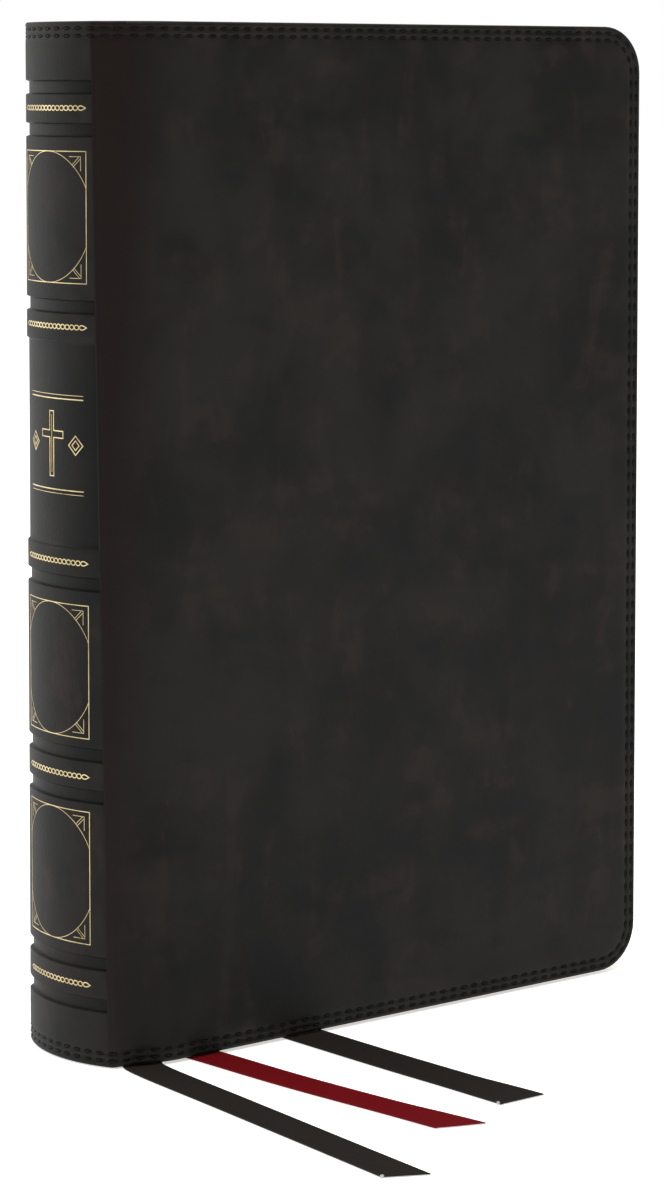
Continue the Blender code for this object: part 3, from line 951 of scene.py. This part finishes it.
class CoverEdge:
    """The line round a cover's head, fore-edge and tail, from the seam and back to it."""

    def __init__(self, z_low):
        self.outline = (FORE_X, z_low, BOOK_TOP, CORNER)
        self.z_low = z_low
        self.straight = FORE_X - CORNER - SEAM_X
        self.arc = math.pi / 2 * (CORNER - sum(STITCH_ROWS) / 2)
        self.side = BOOK_TOP - z_low - 2 * CORNER
        self.length = 2 * self.straight + 2 * self.arc + self.side
        self.count = round(self.length / STITCH_PITCH)

    def inset(self, x, z):
        return min(FORE_X - x, z - self.z_low, BOOK_TOP - z)

    def run(self, x, z):
        """(stitches along the edge, distance in from it in mm) at a point of the square grid."""
        found = corner(x, z, *self.outline)
        if found:
            _, angle, _, side = found
            along = self.straight + self.arc * (1 - angle / (math.pi / 2))
            along = along if side > 0 else self.length - along
        elif x > FORE_X - CORNER:
            along = self.straight + self.arc + BOOK_TOP - CORNER - z
        elif z > BOOK_TOP / 2:
            along = x - SEAM_X
        else:
            along = self.length - (x - SEAM_X)
        return along / self.length * self.count, self.inset(x, z) * 1000

    def place(self, along, inset):
        """(x, z) of a point that far along and that far in from the edge."""
        mirrored = along > self.length / 2
        along = self.length - along if mirrored else along
        if along < self.straight:
            x, down = SEAM_X + along, inset
        elif along < self.straight + self.arc:
            angle = math.pi / 2 * (1 - (along - self.straight) / self.arc)
            x = FORE_X - CORNER + (CORNER - inset) * math.cos(angle)
            down = CORNER - (CORNER - inset) * math.sin(angle)
        else:
            x, down = FORE_X - inset, CORNER + along - self.straight - self.arc
        return x, (self.z_low + down if mirrored else BOOK_TOP - down)


def cover_face_y(x, z, outward):
    """The front cover's outer or inner face, without its stitched border's relief."""
    y = joint_depth(x, z) - FACE_Y
    if outward:
        return y
    onto_board = smooth((x - BOARD_X) / 0.0004 + 1)
    return y + LEATHER + (COVER_THICKNESS - LEATHER) * onto_board


def cover_point(edge, x, z, outward):
    """A point of the front cover's leather, with its folded rim, channels and the board's seat."""
    inset = edge.inset(x, z)
    y = cover_face_y(x, z, outward)
    if outward:
        over_board = smooth((inset - BORDER + 0.0012) / 0.0024) * smooth((x - BOARD_X) / 0.004)
        y += channels(inset) + rim(inset, RIM) + BORDER_DROP * (1 - over_board)
        y += unevenness(x, z, 0.00010) * smooth(inset / 0.006)
    elif min(inset, x - BOARD_X) > BORDER:
        y = LEATHER - FACE_Y
    else:
        thick = cover_face_y(x, z, False) - cover_face_y(x, z, True) > 2 * LEATHER
        y -= channels(inset) + rim(inset, RIM if thick else LEATHER - RIM - 0.00005)
    x, z = rounded(x, z, *edge.outline)
    return Vector((x, y, z))


def cover_stitches(edge, inset, stitch):
    """Both faces' stitches of one row round the front cover."""
    bm = bmesh.new()
    step = edge.length / edge.count
    for number in range(edge.count):
        along = (number + 0.5) * step
        (x0, z0), (x, z), (x1, z1) = (edge.place(along + shift, inset) for shift in (-0.0004, 0, 0.0004))
        for outward, face in ((True, 1), (False, -1)):
            sunk = (STITCH_SUNK + (BORDER_DROP if outward else 0)) * face
            start = Vector((x0, cover_face_y(x0, z0, outward), z0))
            end = Vector((x1, cover_face_y(x1, z1, outward), z1))
            centre = Vector((x, cover_face_y(x, z, outward) + sunk, z))
            add_stitch(bm, stitch, centre, end - start, Vector((0, -face, 0)))
    return bm


def burnish(x, z):
    """1 at the crease, where hands have polished the leather, to 0 on the cover: narrow at the tail."""
    reach = 0.008 + 0.012 * z / BOOK_TOP
    return max(0.0, 1 - (x - crease_x(z)) / reach) * (0.40 + 0.60 * z / BOOK_TOP)


def build_cover(side, leather, thread, stitch):
    """A cover's leather, drawn from the seam to the fore-edge, and its two rows of stitches."""
    edge = CoverEdge(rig.box(f"{side}_cover_leather")[0].z)
    insets = edge_insets()
    seat = BOARD_X + BORDER
    columns = joined(
        spread(SEAM_X, BOARD_X, 0.0008),
        [BOARD_X - 0.0004, BOARD_X - 0.0002, seat - 0.00005, seat + 0.00005],
        spread(seat + 0.002, FORE_X - CORNER, 0.0035),
        [FORE_X - inset for inset in insets],
    )
    rows = edged(edge.z_low, BOOK_TOP, insets, CORNER, 0.0035)
    maps = {"run": edge.run, "marks": lambda x, z: (0.0, burnish(x, z))}
    back = side == "back"
    bm = plate(columns, rows, lambda x, z, share: cover_point(edge, x, z, share == 0), maps)
    cover = finished(f"{side}_cover_skin", bm, leather, mirrored=back)
    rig.replaces(cover, f"{side}_cover_leather")
    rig.slot(cover, "black_leather")
    pieces = [cover]
    for row, inset in zip(("outer", "inner"), STITCH_ROWS):
        bm = cover_stitches(edge, inset, stitch)
        stitches = finished(f"{side}_cover_stitches_{row}", bm, thread, mirrored=back)
        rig.replaces(stitches, f"{side}_cover_thread_{row}")
        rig.slot(stitches, "stitch_thread")
        pieces.append(stitches)
    for piece in pieces:
        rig.blend(piece, f"{side}_pages", f"{side}_cover", (SEAM_X, 0, 0), (SEAM_X + COVER_BEND, 0, 0))


def build_joint(side, leather, thread, stitch):
    """The soft leather from the crease to the seam, with the stitches that cross it."""
    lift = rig.box(f"{side}_cover_leather")[0].z

    def place(share, z, face):
        inset = end_inset(z)
        crease, seam = crease_reach(z), seam_reach(z)
        relief = channels(inset) + rim(inset, END_RIM)
        pressed = pressing(crease + (seam - crease) * share, z)[0] if side == "back" else 0.0
        depth = LEATHER - relief if face else relief + pressed + crease_groove(share * (seam - crease))
        depth += BORDER_DROP * share * (1 - face)
        point = skin(crease + (seam - crease) * max(share, 1e-6), z, depth)[0]
        return point + Vector((0, 0, tail_lift(lift, share, z)))

    maps = {
        "run": lambda share, z: end_run(crease_reach(z) + (seam_reach(z) - crease_reach(z)) * share, z),
        "marks": lambda share, z: (0.0, burnish(crease_x(z) + (SEAM_X - crease_x(z)) * share, z)),
    }
    columns = joined(spread(0.0, 1.0, 0.1), [0.02, 0.05, 0.15])
    back = side == "back"
    rows = joined(end_rows(), pressed_rows())
    strip = finished(f"{side}_joint_skin", plate(columns, rows, place, maps), leather, mirrored=back)
    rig.slot(strip, "black_leather")
    bm = bmesh.new()
    end_stitches(bm, stitch, True, True)
    end_stitches(bm, stitch, False, True, lift)
    stitches = finished(f"{side}_joint_stitches", bm, thread, mirrored=back)
    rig.slot(stitches, "stitch_thread")
    for piece in (strip, stitches):
        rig.blend(piece, ROOT, f"{side}_pages", (CREASE_X - 0.0004, 0, 0), (SEAM_X, 0, 0))


def build_spine(leather, thread, stitch):
    """The spine's leather with its pressed bands and title panel, and the stitches at its ends."""
    near_crease = [1.0, 0.99, 0.975, 0.960, 0.947, 0.938, 0.929, 0.920, 0.911]
    columns = joined(spread(-0.9, 0.9, 0.045), near_crease, [-share for share in near_crease])

    def place(share, z, face):
        reach = share * crease_reach(z)
        inset = end_inset(z)
        relief = channels(inset) + rim(inset, END_RIM)
        outer = relief + pressing(reach, z)[0] - unevenness(reach, z, SPINE_UNEVEN)
        outer += crease_groove((1 - abs(share)) * crease_reach(z))
        point = skin(abs(reach), z, LEATHER - relief if face else outer)[0]
        return Vector((point.x, math.copysign(point.y, reach), z))

    def marks(share, z):
        handled = smooth((abs(share) - 0.86) / 0.14) * burnish(crease_x(z), z)
        # The first value is painted shade for the pressed bands, deeper towards the creases; the second is the polish
        # of hands.
        return pressing(share * crease_reach(z), z)[1] * (0.35 + 0.65 * share**2), handled

    maps = {"run": lambda share, z: end_run(share * crease_reach(z), z), "marks": marks}
    spine = finished("spine_skin", plate(columns, joined(end_rows(), pressed_rows()), place, maps), leather)
    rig.replaces(spine, "spine_leather")
    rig.slot(spine, "black_leather")
    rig.ride(spine, ROOT)
    for end in ("head", "tail"):
        bm = bmesh.new()
        end_stitches(bm, stitch, end == "head", False)
        stitches = finished(f"spine_{end}_stitches", bm, thread)
        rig.replaces(stitches, f"spine_{end}_thread_outer", f"spine_{end}_thread_inner")
        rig.slot(stitches, "stitch_thread")
        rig.ride(stitches, ROOT)


def build_lining(side, finish):
    """The sheet glued inside a cover, its edge pressed down round the board."""
    low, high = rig.box(f"{side}_cover_lining")
    y_face, y_glue = (high.y, low.y) if side == "front" else (low.y, high.y)
    radius = CORNER - BORDER - GAP
    insets = [0.0, 0.0002, 0.0005, 0.0010, 0.0020, 0.0035, 0.0050, radius]
    columns = edged(low.x, high.x, insets, 0.012, 0.012)
    rows = edged(low.z, high.z, insets, 0.012, 0.012)

    def place(x, z, face):
        inset = min(x - low.x, high.x - x, z - low.z, high.z - z)
        toward = y_glue - y_face
        sunk = (rim(inset, 0.0004) + abs(unevenness(x, z, 0.00006))) / abs(toward)
        y = y_glue if face else y_face + toward * min(0.9, sunk)
        x, z = rounded(x, z, high.x, low.z, high.z, radius)
        return Vector((x, y, z))

    lining = finished(f"{side}_cover_doublure", plate(columns, rows, place), finish)
    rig.replaces(lining, f"{side}_cover_lining")
    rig.slot(lining, "black_lining")
    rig.ride(lining, f"{side}_cover")


# ---------------------------------------------------------------- gold tooling


def stroke(bm, points, width=LINE, closed=False):
    """A flat line of that width through (reach, z) points, in the tooling's flat plane."""
    points = [Vector((x, z, 0)) for x, z in points]
    count = len(points)
    edge, left_was = None, None
    for i in range(count + closed):
        here = points[i % count]
        before = points[(i - 1) % count] if closed or i else here
        after = points[(i + 1) % count] if closed or i < count - 1 else here
        along = ((here - before).normalized() + (after - here).normalized()).normalized()
        leg = (after - here if after != here else here - before).normalized()
        across = Vector((-along.y, along.x, 0)) * width / 2 / max(0.5, along.dot(leg))
        left, right = here + across, here - across
        if edge is None:
            edge = bm.edges.new((bm.verts.new(left), bm.verts.new(right)))
        else:
            grown = bmesh.ops.extrude_edge_only(bm, edges=[edge])["geom"]
            edges = [item for item in grown if isinstance(item, bmesh.types.BMEdge)]
            edge = next(item for item in edges if all(vert in grown for vert in item.verts))
            first, second = sorted(edge.verts, key=lambda vert: (vert.co - left_was).length)
            first.co, second.co = left, right
        left_was = left


def arc(centre, radius_x, radius_z, start, end, steps):
    """Points round an ellipse, from one angle to another in degrees."""
    angles = [math.radians(start + (end - start) * i / steps) for i in range(steps + 1)]
    return [(centre[0] + radius_x * math.cos(a), centre[1] + radius_z * math.sin(a)) for a in angles]


def straight(start, end):
    """Points from one place to another, close enough together to follow the spine's curve."""
    steps = max(1, round(abs(end[0] - start[0]) / 0.0012))
    return [
        (start[0] + (end[0] - start[0]) * i / steps, start[1] + (end[1] - start[1]) * i / steps)
        for i in range(steps + 1)
    ]


def around(corners):
    """Points along the straight sides of a closed outline."""
    sides = zip(corners, corners[1:] + corners[:1])
    return [point for start, end in sides for point in straight(start, end)[:-1]]


def dot(bm, centre, radius):
    place = Matrix.Translation((*centre, 0))
    bmesh.ops.create_circle(bm, cap_ends=True, radius=radius, segments=10, matrix=place)


def tooled(name, bm, foil):
    """Gives flat tooling its thickness and lays it round the spine, a little into the leather."""
    bmesh.ops.remove_doubles(bm, verts=bm.verts, dist=DOUBLES)
    bmesh.ops.recalc_face_normals(bm, faces=bm.faces)
    bmesh.ops.solidify(bm, geom=bm.faces[:], thickness=TOOLED)
    middle = sum(vert.co.z for vert in bm.verts) / len(bm.verts)
    for vert in bm.verts:
        reach, z = vert.co.x, vert.co.y
        raised = TOOLED if vert.co.z > middle else -TOOLED
        depth = pressing(reach, z)[0] - unevenness(reach, z, SPINE_UNEVEN) - raised
        point = skin(abs(reach), z, depth)[0]
        vert.co = (point.x, math.copysign(point.y, reach), z)
    piece = finished(name, bm, foil)
    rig.slot(piece, "gold_foil")
    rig.ride(piece, ROOT)


def chain(z):
    """Linked oval rings across the spine, with a leaf at each end."""
    bm = bmesh.new()
    rings = round(2 * CHAIN_REACH / RING_PITCH)
    for number in range(rings):
        centre = (-CHAIN_REACH + (number + 0.5) * RING_PITCH, z)
        points = arc(centre, RING_PITCH / 2 - LINE / 4, 0.00054, 0, 360, 16)[:-1]
        stroke(bm, points, LINE, True)
    for way in (-1, 1):
        root, tip = way * CHAIN_REACH, way * (CHAIN_REACH + 0.0021)
        shares = (0, 0.2, 0.45, 0.7, 0.88, 1)
        upper = [(root + (tip - root) * s, z + 0.00052 * math.sin(math.pi * s**0.7)) for s in shares]
        lower = [(x, 2 * z - height) for x, height in upper[-2:0:-1]]
        stroke(bm, upper + lower, LINE, True)
    return bm


def oval_frame(low, high):
    """A frame with an oval in it, and a bracket, two dots and a double mitre line in each corner."""
    bm = bmesh.new()
    middle, half = (low + high) / 2, (high - low) / 2
    corners = [(-FRAME_REACH, low), (FRAME_REACH, low), (FRAME_REACH, high), (-FRAME_REACH, high)]
    stroke(bm, around(corners), FRAME_LINE, True)
    clip = math.degrees(math.acos(FRAME_REACH / OVAL_REACH))
    for start, end in ((clip, 180 - clip), (180 + clip, 360 - clip)):
        stroke(bm, arc((0, middle), OVAL_REACH, half, start, end, 36), FINE_LINE)
    for across in (-1, 1):
        for up in (-1, 1):
            x, z = across * (FRAME_REACH - 0.0015), middle + up * (half - 0.0012)
            level, upright = (x - across * 0.0034, z), (x, z - up * 0.00325)
            stroke(bm, straight(level, (x, z)) + [upright], FINE_LINE)
            dot(bm, level, 0.00027)
            dot(bm, upright, 0.00027)
            for shift in (-0.00020, 0.00020):
                start = (x - across * (0.0003 + shift), z - up * (0.0003 - shift))
                end = (x - across * (0.0024 + shift), z - up * (0.0022 - shift))
                stroke(bm, straight(start, end), FINE_LINE)
    return bm


def title_ornament():
    """A plain upright cross between two pairs of rules, with a lozenge on either side of it."""
    bm = bmesh.new()
    middle = sum(PANEL) / 2
    tall, wide, beam, arm_z = 0.0075, 0.0043, 0.0008, middle + 0.0022
    half = [
        (beam, middle - tall),
        (beam, arm_z - beam),
        (wide, arm_z - beam),
        (wide, arm_z + beam),
        (beam, arm_z + beam),
        (beam, middle + tall),
    ]
    outline = half + [(-x, z) for x, z in reversed(half)]
    stroke(bm, around(outline), LINE, True)
    stroke(bm, straight((0, middle - tall + 0.0008), (0, middle + tall - 0.0008)), FINE_LINE)
    for way in (-1, 1):
        x = way * 0.0084
        for size in (0.0022, 0.0011):
            points = [(x - size, middle), (x, middle - size), (x + size, middle), (x, middle + size)]
            stroke(bm, points, LINE, True)
        dot(bm, (x, middle), 0.00035)
        for rule, width in ((0.0105, LINE), (0.0114, FINE_LINE)):
            z = middle + way * rule
            stroke(bm, straight((-0.0108, z), (0.0108, z)), width)
    return bm


def build_tooling(foil):
    for number, z in enumerate(CHAINS, 1):
        tooled(f"spine_chain_{number}", chain(z), foil)
    for number, (low, high) in enumerate(FRAMES, 1):
        tooled(f"spine_oval_frame_{number}", oval_frame(low, high), foil)
    tooled("spine_cross_ornament", title_ornament(), foil)


# ---------------------------------------------------------------- pages, bands and ribbons


def page_grid(low, high, x_start=None):
    """Columns and rows for a layer of pages: dense where it bends and round its fore corners."""
    x_start = low.x if x_start is None else x_start
    insets = [0.0, 0.0003, 0.0010, 0.0022, 0.0038, 0.0056, 0.0075, PAGE_CORNER]
    fold = (0.0, 0.0001, 0.0003, 0.0006, 0.0010, 0.0014)
    columns = joined(
        [low.x + step for step in fold if x_start == low.x],
        spread(max(x_start, low.x + 0.0026), -0.045, 0.0013),
        spread(-0.040, high.x - PAGE_CORNER, 0.010),
        [high.x - inset for inset in insets],
    )
    return columns, edged(low.z, high.z, insets, PAGE_CORNER, 0.012)


def gild(bm, spine_x):
    """The second material goes on the cut edges: head, tail and fore-edge."""
    bm.normal_update()
    for face in bm.faces:
        at_spine = face.calc_center_median().x < spine_x + 0.003 and abs(face.normal.z) < 0.6
        if abs(face.normal.y) < 0.6 and not at_spine:
            face.material_index = 1


def build_signature(number, body, paper, gilt):
    """A fold of leaves: round at the spine, and ragged by a hair where its leaves were cut."""
    node = f"signature_{number:02d}"
    low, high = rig.box(node)
    leaves = 10
    place_in_group = (number - 1) % 3
    swell = GAP / 2 - 0.00002  # sections of one group lie on each other
    y_low = low.y - (swell if place_in_group else 0)
    y_high = high.y + (swell if place_in_group < 2 else 0)
    middle = (y_low + y_high) / 2
    most = (0.00016, 0.00010, 0.00010)
    trims = [[rng.uniform(0, trim) for trim in most] for _ in range(leaves + 1)]

    def place(x, z, share):
        fore, head, tail = trims[round(share * leaves)]
        fold = math.sqrt(max(0.0, 1 - max(0.0, 1 - (x - low.x) / 0.0014) ** 2))
        y = middle + (y_low + (y_high - y_low) * share - middle) * max(0.05, fold)
        if z > high.z - 1e-6:
            z -= head
        if z < low.z + 1e-6:
            z += tail
        edge = x > high.x - 1e-6
        x, z = rounded(x, z, high.x, low.z, high.z, PAGE_CORNER)
        return Vector((x - fore * edge, y, z))

    bm = plate(*page_grid(low, high), place, layers=leaves)
    gild(bm, low.x)
    pages = finished(f"pages_{number:02d}", bm, paper, gilt)
    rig.replaces(pages, node)
    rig.slot(pages, "thin_paper")
    if body == ROOT:
        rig.ride(pages, ROOT)
    else:
        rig.blend(pages, ROOT, body, *[(x, 0, 0) for x in PAGE_BEND_X])


def leaf(name, node, x_start, x_end, paper, gilt):
    """One thin leaf, or a strip of it, that lies almost flat."""
    low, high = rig.box(node)
    columns, rows = page_grid(low, high, x_start)
    columns = [x for x in columns if x <= x_end + 1e-9]
    if x_end < high.x:
        columns = joined(columns, [x_end])

    def place(x, z, share):
        y = low.y + (high.y - low.y) * share + unevenness(x, z + low.y * 9, 0.00009)
        x, z = rounded(x, z, high.x, low.z, high.z, PAGE_CORNER)
        return Vector((x, y, z))

    bm = plate(columns, rows, place)
    gild(bm, -1.0)
    piece = finished(name, bm, paper, gilt)
    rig.slot(piece, "thin_paper")
    return piece


def build_leaves(side, paper, gilt):
    """The flyleaf, hinged on its pages by a strip beside the spine, and the leaves of the opening."""
    node = f"{side}_flyleaf"
    low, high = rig.box(node)
    hinge = leaf(f"{side}_flyleaf_hinge", node, low.x, FLYLEAF_HINGE_X, paper, gilt)
    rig.blend(hinge, ROOT, f"{side}_pages", (low.x, 0, 0), (FLYLEAF_HINGE_X, 0, 0))
    turning = leaf(f"{side}_flyleaf_sheet", node, FLYLEAF_HINGE_X, high.x, paper, gilt)
    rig.replaces(turning, node)
    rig.blend(turning, f"{side}_pages", node, (FLYLEAF_HINGE_X, 0, 0), (FLYLEAF_HINGE_X + 0.016, 0, 0))
    for number in (1, 2):
        node = f"{side}_leaf_{number}"
        low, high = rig.box(node)
        sheet = leaf(f"{side}_sheet_{number}", node, low.x, high.x, paper, gilt)
        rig.replaces(sheet, node)
        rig.blend(sheet, ROOT, node, *[(x, 0, 0) for x in PAGE_BEND_X])


def build_bands(silk):
    """Head and tail bands: silk wound side by side over a cord that follows the folds."""
    for end in ("head", "tail"):
        low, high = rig.box(f"{end}_band")
        cord_radius = (high.z - low.z) / 2 * 0.98
        pages_radius = SPINE_CENTRE_X - low.x
        radius, height = pages_radius - (high.z - low.z) / 2, (high.z + low.z) / 2
        half_angle = math.asin(high.y / pages_radius) - 0.012
        turns = round(2 * half_angle * radius / 0.00048)
        steps = turns * 4

        def place(step, turn):
            ends = min(1.0, 0.3 + min(step, steps - step) / 4)
            wound = cord_radius * ends * (0.93 + 0.07 * math.cos(2 * math.pi * step / 4))
            angle = half_angle * (2 * step / steps - 1)
            reach = radius + wound * math.cos(2 * math.pi * turn)
            z = height + wound * math.sin(2 * math.pi * turn)
            return Vector((SPINE_CENTRE_X - reach * math.cos(angle), reach * math.sin(angle), z))

        bm = tube(steps, 12, place, 1 / 4)
        band = finished(f"{end}_band_silk", bm, silk)
        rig.replaces(band, f"{end}_band")
        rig.slot(band, "band_cord")
        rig.ride(band, ROOT)


def smooth_run(points, steps):
    """Points on a smooth curve through the given ones."""
    padded = [2 * points[0] - points[1], *points, 2 * points[-1] - points[-2]]
    run = []
    for p0, p1, p2, p3 in zip(padded, padded[1:], padded[2:], padded[3:]):
        for step in range(steps):
            t = step / steps
            bend = (2 * p0 - 5 * p1 + 4 * p2 - p3) * t**2 + (3 * p1 - p0 - 3 * p2 + p3) * t**3
            run.append((2 * p1 + (p2 - p0) * t + bend) / 2)
    return run + [points[-1]]


def ribbon_path(name, x_head, floor_points):
    """Points down between the pages, round a bend at the tail and out along the floor."""
    low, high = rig.box(name)
    y = high.y - RIBBON / 2
    z_floor = RIBBON / 2
    pages_low, pages_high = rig.box("signature_06")[0].z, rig.box("signature_06")[1].z
    top = Vector((x_head, y, pages_high - RIBBON_HEAD_DROP))
    bottom = Vector((floor_points[0][0], y, pages_low))
    path = [top.lerp(bottom, share / 24) for share in range(25)]
    for step in range(RIBBON_BEND_STEPS + 1):
        angle = math.radians(90 * step / RIBBON_BEND_STEPS)
        drop = RIBBON_BEND * (1 - math.sin(angle))
        path.append(Vector((bottom.x, y - RIBBON_BEND * (1 - math.cos(angle)), z_floor + drop)))
    return path + smooth_run([Vector((px, py, z_floor)) for px, py in floor_points], 10)[1:]


def build_ribbon(name, silk):
    """A satin ribbon with firm selvedges, its end cut at a slant."""
    width, x_head, slant, floor_points = RIBBONS[name]
    path = ribbon_path(name, x_head, floor_points)
    lengths = [0.0]
    for before, after in zip(path, path[1:]):
        lengths.append(lengths[-1] + (after - before).length)
    whole = lengths[-1]

    def place(across, index, face):
        here = path[index]
        along = (path[min(index + 1, len(path) - 1)] - path[max(index - 1, 0)]).normalized()
        side = (Vector((1, 0, 0)) - along * along.x).normalized()
        out = side.cross(along)
        to_tip = smooth(1 - (whole - lengths[index]) / 0.022)
        cut = smooth(1 - (whole - lengths[index]) / 0.010)
        half = width / 2 * (1 + RIBBON_FLARES[name] * to_tip * (1.5 if across > 0 else 0.5))
        selvedge = 0.00006 * smooth((abs(across) - 0.86) / 0.08)
        thick = (RIBBON / 2 - 0.00007 + selvedge) * (1 if face else -1)
        return here + side * (half * across) + along * (slant / 2 * across * cut) + out * thick

    across = [-1, -0.97, -0.94, -0.90, -0.86, -0.5, 0, 0.5, 0.86, 0.90, 0.94, 0.97, 1]
    maps = {"weave": lambda side, index: (lengths[index] * 1000, side * width / 2 * 1000)}
    ribbon = finished(f"{name}_silk", plate(across, list(range(len(path))), place, maps), silk)
    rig.replaces(ribbon, name)
    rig.slot(ribbon, "red_ribbon" if name == "ribbon_middle" else "black_ribbon")
    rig.ride(ribbon, ROOT)
    return ribbon, path


def build_ribbons(black, red, glue):
    for name, (width, _, slant, _) in RIBBONS.items():
        ribbon, path = build_ribbon(name, red if name == "ribbon_middle" else black)
        beads = []
        if name != "ribbon_middle":
            along = (path[-1] - path[-2]).normalized()
            tip = path[-1] - Vector((width / 2 * (1 + RIBBON_FLARES[name]), 0, 0)) - along * slant / 2
            beads.append(sealing_bead(f"{name}_sealed_corner", tip, glue))
        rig.cord(
            ribbon,
            exit=path[0],
            length=RIBBON_LENGTHS[name],
            diameter=width,
            far_end="bare",
            stiffness="limp",
            lay="loose",
            path=path,
            with_pieces=beads,
        )


def sealing_bead(name, place, glue):
    """The drop of clear glue that keeps a ribbon's cut corner from fraying."""
    bm = bmesh.new()
    bmesh.ops.create_icosphere(bm, subdivisions=3, radius=0.00042)
    for vert in bm.verts:
        vert.co *= 1 + 0.25 * noise.noise(vert.co * 2600 + place * 50)
        vert.co.z *= 0.75
    bmesh.ops.translate(bm, vec=Vector((place.x + 0.0002, place.y + 0.0002, 0.00034)), verts=bm.verts)
    bead = finished(name, bm, glue)
    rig.slot(bead, "stitch_thread")
    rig.ride(bead, ROOT)
    return bead


# ---------------------------------------------------------------- studio


def build_studio():
    """A large pale floor under a pale sky that is dimmer to the right, and two soft lamps."""
    bm = bmesh.new()
    bmesh.ops.create_grid(bm, x_segments=8, y_segments=8, size=12)
    bmesh.ops.translate(bm, vec=(0, 0, -0.0002), verts=bm.verts)
    floor = finished("floor", bm, floor_finish())
    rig.stage(floor)
    world = bpy.data.worlds.new("studio")
    bpy.context.scene.world = world
    world.use_nodes = True
    wiring = Wiring(world.node_tree)
    way = wiring.node("ShaderNodeTexCoord", output="Generated")
    facing = wiring.node("ShaderNodeVectorMath", {"operation": "DOT_PRODUCT"}, {0: way, 1: DIM_SIDE}, "Value")
    sky = facing.spanned(DIM_SPAN, (BACK_LIGHT, DIM_LIGHT))
    seen = wiring.node("ShaderNodeLightPath", output="Is Camera Ray")
    background = world.node_tree.nodes["Background"]
    wiring.put(background.inputs["Strength"], wiring.node("ShaderNodeMix", {}, {0: seen, 2: sky, 3: 1.0}))
    wiring.put(background.inputs["Color"], (1.0, 1.0, 1.0))
    lamp("back_left_softbox", (-1.0, 1.7, 0.6), (0, 0, 0.12), 1.2, 9)
    lamp("top_softbox", (-0.3, -0.5, 1.9), (0, 0, 0.1), 1.4, 30)
    view = bpy.context.scene.view_settings
    view.view_transform = "Standard"
    view.look = "None"


def lamp(name, place, target, size, power):
    data = bpy.data.lights.new(name, "AREA")
    data.size = size
    data.energy = power
    light = bpy.data.objects.new(name, data)
    light.location = place
    light.rotation_euler = (Vector(target) - Vector(place)).to_track_quat("-Z", "Y").to_euler()
    bpy.context.scene.collection.objects.link(light)


def finish_inner_parts():
    """Better finishes for the pieces inside, which keep their shapes."""
    board, paper, cloth = board_finish(), paper_finish("spine_paper", (0.55, 0.47, 0.36)), cloth_finish()
    finishes = {"spine_card": board, "spine_paper": paper, "crash_cloth": cloth}
    finishes.update({f"sewing_tape_{number}": cloth for number in range(1, 5)})
    finishes.update({f"{side}_cover_board": board for side in ("front", "back")})
    for node, finish in finishes.items():
        mesh = frame["nodes"][node].data
        for index in range(len(mesh.materials)):
            mesh.materials[index] = finish


def main():
    place_camera()
    satin = ((0.0110, 0.0091, 0.0077), (0.0240, 0.0200, 0.0175))
    scarlet = ((0.105, 0.0012, 0.0030), (0.185, 0.0034, 0.0075))
    black = ribbon_finish("black_ribbon", *satin)
    build_ribbons(black, ribbon_finish("red_ribbon", *scarlet), glue_finish())
    leather, thread, stitch = black_leather(), thread_finish(), stitch_mesh()
    paper, gilt = paper_finish(), gilt_finish()
    lining = lining_leather()
    build_spine(leather, thread, stitch)
    build_tooling(foil_finish())
    for side in ("front", "back"):
        build_joint(side, leather, thread, stitch)
        build_cover(side, leather, thread, stitch)
        build_lining(side, lining)
        build_leaves(side, paper, gilt)
    for number in range(1, 13):
        body = "front_pages" if number < 4 else "back_pages" if number > 9 else ROOT
        build_signature(number, body, paper, gilt)
    build_bands(band_finish())
    finish_inner_parts()
    build_studio()


main()
bpy.context.view_layer.update()
boxes = {"cad": cad_box, "visual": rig.bounds()}
with open("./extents.json", "w") as file:
    json.dump({name: [list(point) for point in box] for name, box in boxes.items()}, file)
